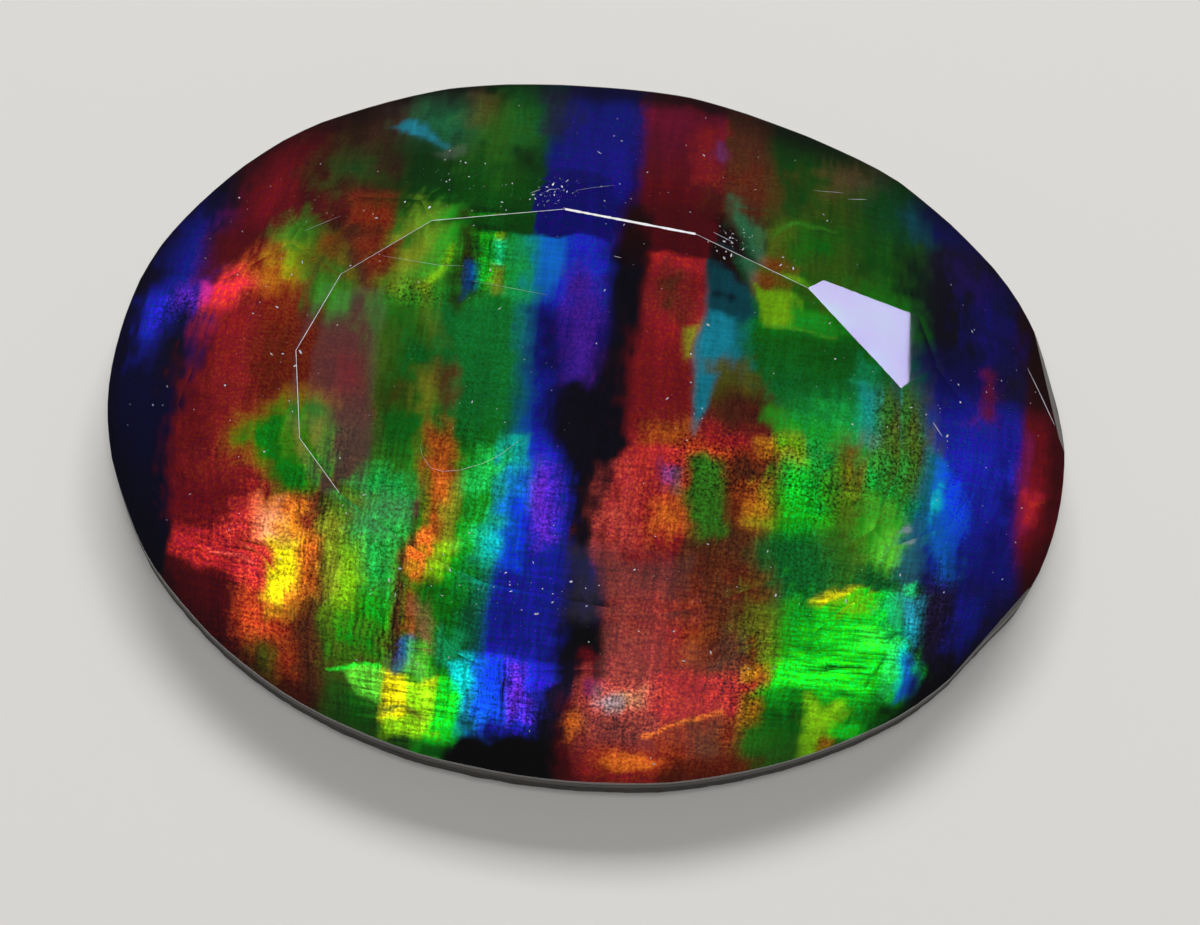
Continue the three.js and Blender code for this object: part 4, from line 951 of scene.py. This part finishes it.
# Worn table edge, partly a painted highlight
# The edge between the flat table and the facets round it takes most of the wear. Tiny chips have frosted it
# in a ragged strip, which is widest on the far side and hardly there on the near side. The strip is partly
# a painted highlight: its width follows how brightly each stretch of the edge glints.

# How wide the strip is, in mm, by the direction in degrees from the middle of the table. It is set wider
# where the edge glints, so it is partly painted highlight.
TABLE_WEAR_AND_GLINT = [
    (0, 0), (45, 0.006), (60, 0.009), (68, 0.011), (72, 0.055), (90, 0.05), (96, 0.01), (128, 0.007),
    (150, 0.006), (175, 0.01), (195, 0.01), (210, 0.004), (225, 0), (360, 0),
]
NARROWEST = 0.003  # mm, where the strip stops
STRIP_STEP = 0.05  # mm between the points of a strip
RAGGED = 0.3  # how far a strip's sides wander, as a share of its width
RAGGED_EVERY = 0.09  # mm along a strip
RISE = 0.001  # mm, how far its middle stands up

corners = [v.co / MM for v in mesh.vertices]
crown_surface = BVHTree.FromPolygons(corners, [tuple(p.vertices) for p in mesh.polygons])


def on_crown(x, y):
    """The height of the crown's surface at a place, in mm."""
    return crown_surface.ray_cast(Vector((x, y, 10)), Vector((0, 0, -1)))[0].z


def strip_on_crown(points, wide, ends):
    """A thin closed strip along points on the crown, as vertices in mm and faces. Its ends have the share
    given of its width, its sides are ragged, and its middle stands up a little."""
    knots = np.array(points)
    run = np.r_[0, np.cumsum(np.hypot(*np.diff(knots, axis=0).T))]
    steps = np.linspace(0, run[-1], max(4, int(run[-1] / STRIP_STEP)))
    path = np.c_[np.interp(steps, run, knots[:, 0]), np.interp(steps, run, knots[:, 1])]
    ahead = np.gradient(path, axis=0)
    aside = np.c_[-ahead[:, 1], ahead[:, 0]] / np.hypot(*ahead.T)[:, None]
    swelling = np.abs(np.sin(np.pi * steps / run[-1])) ** 0.5
    rough = 1 + RAGGED * cloud(*path.T, RAGGED_EVERY, RAGGED_EVERY, 11)
    half = wide / 2 * (ends + (1 - ends) * swelling) * rough
    vertices = []
    for middle, left, right in zip(path, path + aside * half[:, None], path - aside * half[:, None]):
        height = on_crown(*middle)
        vertices += [(*left, on_crown(*left)), (*middle, height - 2 * RISE), (*right, on_crown(*right)),
                     (*middle, height + RISE)]
    last = len(vertices) - 4
    sides = [
        (k + i, k + (i + 1) % 4, k + 4 + (i + 1) % 4, k + 4 + i)
        for k in range(0, last, 4)
        for i in range(4)
    ]
    return vertices, [*sides, (3, 2, 1, 0), (last, last + 1, last + 2, last + 3)]


def joined(strips):
    """Several strips as one list of vertices and one of faces."""
    vertices, faces = [], []
    for more_vertices, more_faces in strips:
        faces += [tuple(len(vertices) + i for i in face) for face in more_faces]
        vertices += more_vertices
    return vertices, faces


strips = []
for first, second in table_edges:
    wide = along(TABLE_WEAR_AND_GLINT, math.degrees(math.atan2(first[1] + second[1], first[0] + second[0])) % 360)
    if wide > NARROWEST:
        strips.append(strip_on_crown([first, second], wide, 0.8))
table_wear_and_glint = new_piece("worn_table_edge_and_glint", *joined(strips), [wear_and_glint])
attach(table_wear_and_glint, "root")

# Dust
# Pale grains of polishing powder and skin that lie loose on the crown. They are thin flakes, scattered
# everywhere and gathered in drifts by the table's far edge, where wiping leaves them.

DUST_EVERYWHERE = 1.8  # grains to a square millimetre
DUST_DRIFTS = [  # middle x and y and half sizes in mm, and grains to a square millimetre there
    (-1.3, 4.35, 0.4, 0.27, 320), (2.6, 3.75, 0.4, 0.4, 170), (3.8, 3.35, 0.3, 0.2, 75),
    (-2.2, 4.2, 0.8, 0.4, 28), (-3.3, 4.6, 0.7, 0.6, 20), (-5.2, 3.2, 1.2, 0.9, 9),
    (-8.9, 2.8, 0.5, 0.5, 25), (7.2, 0.4, 0.7, 0.9, 22), (8.3, 1.7, 0.5, 0.4, 22),
    (-6.6, -0.4, 1.3, 1.4, 3), (-1, -4.2, 2, 0.6, 22), (2.5, -3.4, 2.4, 0.5, 12), (-6.4, 2, 0.8, 0.6, 9),
    (0.2, 4.4, 1, 0.5, 14), (5, 0.6, 1.5, 1.2, 6),
]
SMALLEST_GRAIN, LARGEST_GRAIN = 0.004, 0.03  # mm, radius
FINENESS = 4.0  # the higher, the fewer large grains
DUST_BED_PITCH = 0.25  # mm
DUST_BED_LONG, DUST_BED_WIDE = 9.75, 7.25  # mm, its half sizes
DUSTY_LONG, DUSTY_WIDE = 9.8, 7.3  # mm, half sizes of the oval that the dust stays just inside
FLAKE_LEAST, FLAKE_MOST = (0.6, 0.3, 0.06), (1.9, 0.9, 0.1)  # a flake's length, width and thickness, in radii
DUST_SEED = 7
BROWNEST_GRAIN, WHITEST_GRAIN = "#A8A098", "#C2CAE0"
TINTS_TO_A_MM = 9  # how often the grains' colour changes over the crown

# Dust: dry powder and skin flakes, pale and matte, some grains whiter and some browner.
powder, tree, output = new_material("pale_dust")
place = add_node(tree, "ShaderNodeTexCoord").outputs["Object"]
blend = add_node(tree, "ShaderNodeTexNoise", {"Vector": place, "Scale": TINTS_TO_A_MM / MM, "Detail": 2.0})
pale = add_node(tree, "ShaderNodeMix",
                {0: blend.outputs["Fac"], 6: linear(BROWNEST_GRAIN), 7: linear(WHITEST_GRAIN)},
                data_type="RGBA")
surface = add_node(tree, "ShaderNodeBsdfPrincipled", {"Base Color": pale.outputs[2], "Roughness": 0.9})
tree.links.new(surface.outputs[0], output.inputs[0])

# The bed that the dust settles on is a net over the crown, with the number of grains at each of its points.
half_pitch = DUST_BED_PITCH / 2
bed_x, bed_y = np.meshgrid(
    np.arange(-DUST_BED_LONG, DUST_BED_LONG + half_pitch, DUST_BED_PITCH),
    np.arange(-DUST_BED_WIDE, DUST_BED_WIDE + half_pitch, DUST_BED_PITCH),
)
on_stone = (bed_x / DUSTY_LONG) ** 2 + (bed_y / DUSTY_WIDE) ** 2 < 0.98
bed_z = [on_crown(x, y) if kept else 0 for x, y, kept in zip(bed_x.ravel(), bed_y.ravel(), on_stone.ravel())]
cell = np.arange(bed_x.size).reshape(bed_x.shape)
cells = [
    (cell[j, i], cell[j, i + 1], cell[j + 1, i + 1], cell[j + 1, i])
    for j in range(cell.shape[0] - 1)
    for i in range(cell.shape[1] - 1)
    if on_stone[j:j + 2, i:i + 2].all()
]
bed = bpy.data.meshes.new("crown_dust")
bed.from_pydata(np.c_[bed_x.ravel(), bed_y.ravel(), bed_z].tolist(), [], cells)
grains_here = np.full(bed_x.size, DUST_EVERYWHERE, np.float32)
for middle_x, middle_y, half_x, half_y, wanted in DUST_DRIFTS:
    away = np.hypot((bed_x.ravel() - middle_x) / half_x, (bed_y.ravel() - middle_y) / half_y)
    grains_here += wanted * eased(1.3 - away)
bed.attributes.new("grains", "FLOAT", "POINT").data.foreach_set("value", grains_here)
dust = bpy.data.objects.new("crown_dust", bed)
bpy.context.scene.collection.objects.link(dust)

settle = bpy.data.node_groups.new("settle_dust", "GeometryNodeTree")
sockets = settle.interface
sockets.new_socket("Bed", in_out="INPUT", socket_type="NodeSocketGeometry")
seed_in = sockets.new_socket("Seed", in_out="INPUT", socket_type="NodeSocketInt")
smallest_in = sockets.new_socket("Smallest grain", in_out="INPUT", socket_type="NodeSocketFloat")
largest_in = sockets.new_socket("Largest grain", in_out="INPUT", socket_type="NodeSocketFloat")
material_in = sockets.new_socket("Dust", in_out="INPUT", socket_type="NodeSocketMaterial")
sockets.new_socket("Grains", in_out="OUTPUT", socket_type="NodeSocketGeometry")
given = add_node(settle, "NodeGroupInput").outputs
density = add_node(settle, "GeometryNodeInputNamedAttribute", {"Name": "grains"}, data_type="FLOAT")
landed = add_node(settle, "GeometryNodeDistributePointsOnFaces",
                  {"Mesh": given["Bed"], "Density": density.outputs[0], "Seed": given["Seed"]})
grain = add_node(settle, "GeometryNodeMeshIcoSphere", {"Radius": 1.0, "Subdivisions": 1}).outputs["Mesh"]
chance = add_node(settle, "FunctionNodeRandomValue", {8: given["Seed"]}, data_type="FLOAT").outputs[1]
sieved = add_node(settle, "ShaderNodeMath", {0: chance, 1: FINENESS}, operation="POWER").outputs[0]
size = add_node(settle, "ShaderNodeMapRange", {"Value": sieved, "To Min": given["Smallest grain"],
                                               "To Max": given["Largest grain"]}).outputs[0]
flaky = add_node(settle, "FunctionNodeRandomValue", {0: FLAKE_LEAST, 1: FLAKE_MOST, 8: given["Seed"]},
                 data_type="FLOAT_VECTOR").outputs[0]
turn = add_node(settle, "FunctionNodeRandomValue", {1: (0, 0, 2 * math.pi), 8: given["Seed"]},
                data_type="FLOAT_VECTOR").outputs[0]
spin = add_node(settle, "FunctionNodeEulerToRotation", {0: turn}).outputs[0]
lying = add_node(settle, "FunctionNodeRotateRotation", {0: landed.outputs["Rotation"], 1: spin},
                 rotation_space="LOCAL").outputs[0]
scale = add_node(settle, "ShaderNodeVectorMath", {0: flaky, "Scale": size}, operation="SCALE").outputs[0]
placed = add_node(settle, "GeometryNodeInstanceOnPoints",
                  {"Points": landed.outputs["Points"], "Instance": grain, "Rotation": lying, "Scale": scale})
solid = add_node(settle, "GeometryNodeRealizeInstances", {0: placed.outputs[0]})
dusty = add_node(settle, "GeometryNodeSetMaterial", {"Geometry": solid.outputs[0], "Material": given["Dust"]})
add_node(settle, "NodeGroupOutput", {0: dusty.outputs[0]})
modifier = dust.modifiers.new("settle", "NODES")
modifier.node_group = settle
modifier[seed_in.identifier] = DUST_SEED
modifier[smallest_in.identifier] = SMALLEST_GRAIN
modifier[largest_in.identifier] = LARGEST_GRAIN
modifier[material_in.identifier] = powder
baked(dust)
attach(dust, "root")

# Hair and scratches
# One curled lint hair lies on the table, and a few scratches from handling have frosted edges. None of them
# is as wide as 0.02 mm, and all follow the crown's surface.

HAIRLINES = [  # width in mm, then points along it
    (0.006, [(-3.32, -1.39), (-3.25, -1.6), (-3.05, -1.84), (-2.8, -1.88), (-2.45, -1.81), (-2, -1.61),
             (-1.68, -1.39), (-1.32, -1.03)]),
    (0.018, [(7.03, 0.5), (7.26, 0.25)]),
    (0.016, [(8.99, 2.34), (9.32, 1.83), (9.69, 1.23)]),
    (0.004, [(-2.7, 2.2), (-1.9, 2.15), (-1.15, 2.1)]),
    (0.004, [(-4.6, 2.5), (-3.4, 2.45), (-2.9, 2.5)]),
    (0.006, [(4.1, 5.45), (4.75, 5.55)]),
    (0.008, [(4.85, 5.4), (5.25, 5.5)]),
    (0.01, [(2.1, 3.9), (2.5, 3.75)]),
    (0.004, [(-6.3, 3), (-5.6, 3.4)]),
    (0.004, [(-0.85, 4.47), (-0.5, 4.6), (-0.04, 4.74)]),
    (0.01, [(0.12, 3.1), (0.28, 3.08)]),
    (0.012, [(-0.5, 5.62), (-0.4, 5.56)]),
    (0.01, [(-1.45, 4.36), (-1.34, 4.45), (-1.22, 4.44)]),
    (0.008, [(-1.75, 4.3), (-1.55, 4.42)]),
]

strips = [strip_on_crown(points, wide, 0.3) for wide, points in HAIRLINES]
hairlines = new_piece("hair_and_scratches", *joined(strips), [powder])
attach(hairlines, "root")

# Stage
# A plain pale surface under the stone, one soft light from behind and above, one from above, and a small
# bright one that one facet of the crown mirrors.

FLOOR_COLOUR = "#DAD8D4"
FLOOR_HALF = 0.6  # m
FIBRES_TO_A_MM = 2.5
ROOM_LIGHT = (0.08, 0.08, 0.083, 1)  # a dim grey, linear
CAMERA_ELEVATION, CAMERA_ROLL = 75.4, 7.0  # degrees
CAMERA_DISTANCE = 0.1  # m
CAMERA_TARGET = Vector((0.355, -0.72, 1.9)) * MM
CAMERA_LENS = 144.1  # mm, on a sensor 36 mm wide

floor_mesh = bpy.data.meshes.new("floor")
floor_corners = [(FLOOR_HALF * x, FLOOR_HALF * y, 0) for x, y in [(-1, -1), (1, -1), (1, 1), (-1, 1)]]
floor_mesh.from_pydata(floor_corners, [], [(0, 1, 2, 3)])
floor = bpy.data.objects.new("floor", floor_mesh)
bpy.context.scene.collection.objects.link(floor)
paper, tree, output = new_material("pale_paper")
place = add_node(tree, "ShaderNodeTexCoord").outputs["Object"]
fibre = add_node(tree, "ShaderNodeTexNoise", {"Vector": place, "Scale": FIBRES_TO_A_MM / MM, "Detail": 4.0})
bump = add_node(tree, "ShaderNodeBump",
                {"Strength": 0.08, "Distance": 0.02 * MM, "Height": fibre.outputs["Fac"]})
surface = add_node(tree, "ShaderNodeBsdfPrincipled", {"Base Color": linear(FLOOR_COLOUR), "Roughness": 0.75,
                                                      "Normal": bump.outputs[0]})
tree.links.new(surface.outputs[0], output.inputs[0])
floor_mesh.materials.append(paper)


def add_softbox(name, azimuth, elevation, distance, width, height, radiance, roll=0.0, colour=(1, 1, 1)):
    """An area light aimed at the stone. Azimuth 0 is at -Y and 90 at +X. Angles are in degrees, sizes in
    metres and radiance in watts to a square metre and steradian."""
    a, e = math.radians(azimuth), math.radians(elevation)
    back = Vector((math.sin(a) * math.cos(e), -math.cos(a) * math.cos(e), math.sin(e)))
    data = bpy.data.lights.new(name, "AREA")
    data.shape = "RECTANGLE"
    data.size, data.size_y = width, height
    data.energy = radiance * math.pi * width * height
    data.color = colour
    lamp = bpy.data.objects.new(name, data)
    lamp.location = CAMERA_TARGET + back * distance
    lamp.rotation_mode = "QUATERNION"
    lamp.rotation_quaternion = (-back).to_track_quat("-Z", "Y") @ Quaternion((0, 0, 1), math.radians(roll))
    bpy.context.scene.collection.objects.link(lamp)


add_softbox("far_softbox", azimuth=180, elevation=51, distance=0.35, width=0.24, height=0.11, radiance=11.0)
add_softbox("top_softbox", azimuth=0, elevation=79, distance=0.42, width=0.13, height=0.12, radiance=13.5)
add_softbox("facet_light", azimuth=148.67, elevation=35.19, distance=0.3052, width=0.0115, height=0.0115,
            radiance=17.6, roll=40.0, colour=(0.645, 0.53, 1.0))

world = bpy.data.worlds.new("studio")
world.use_nodes = True
world.node_tree.nodes["Background"].inputs["Color"].default_value = ROOM_LIGHT
bpy.context.scene.world = world
bpy.context.scene.view_settings.view_transform = "Standard"

elevation, roll = math.radians(CAMERA_ELEVATION), math.radians(CAMERA_ROLL)
look = Vector((0, math.cos(elevation), -math.sin(elevation)))
level_right = Vector((1, 0, 0))
level_up = level_right.cross(look)
right = level_right * math.cos(roll) + level_up * math.sin(roll)
up = level_up * math.cos(roll) - level_right * math.sin(roll)
camera = bpy.data.objects.new("camera", bpy.data.cameras.new("camera"))
camera.data.lens = CAMERA_LENS
camera.data.sensor_width = 36.0
camera.data.clip_start = 0.002
camera.data.clip_end = 5.0
camera.matrix_world = Matrix((right, up, -look)).transposed().to_4x4()
camera.location = CAMERA_TARGET - look * CAMERA_DISTANCE
bpy.context.scene.collection.objects.link(camera)
bpy.context.scene.camera = camera
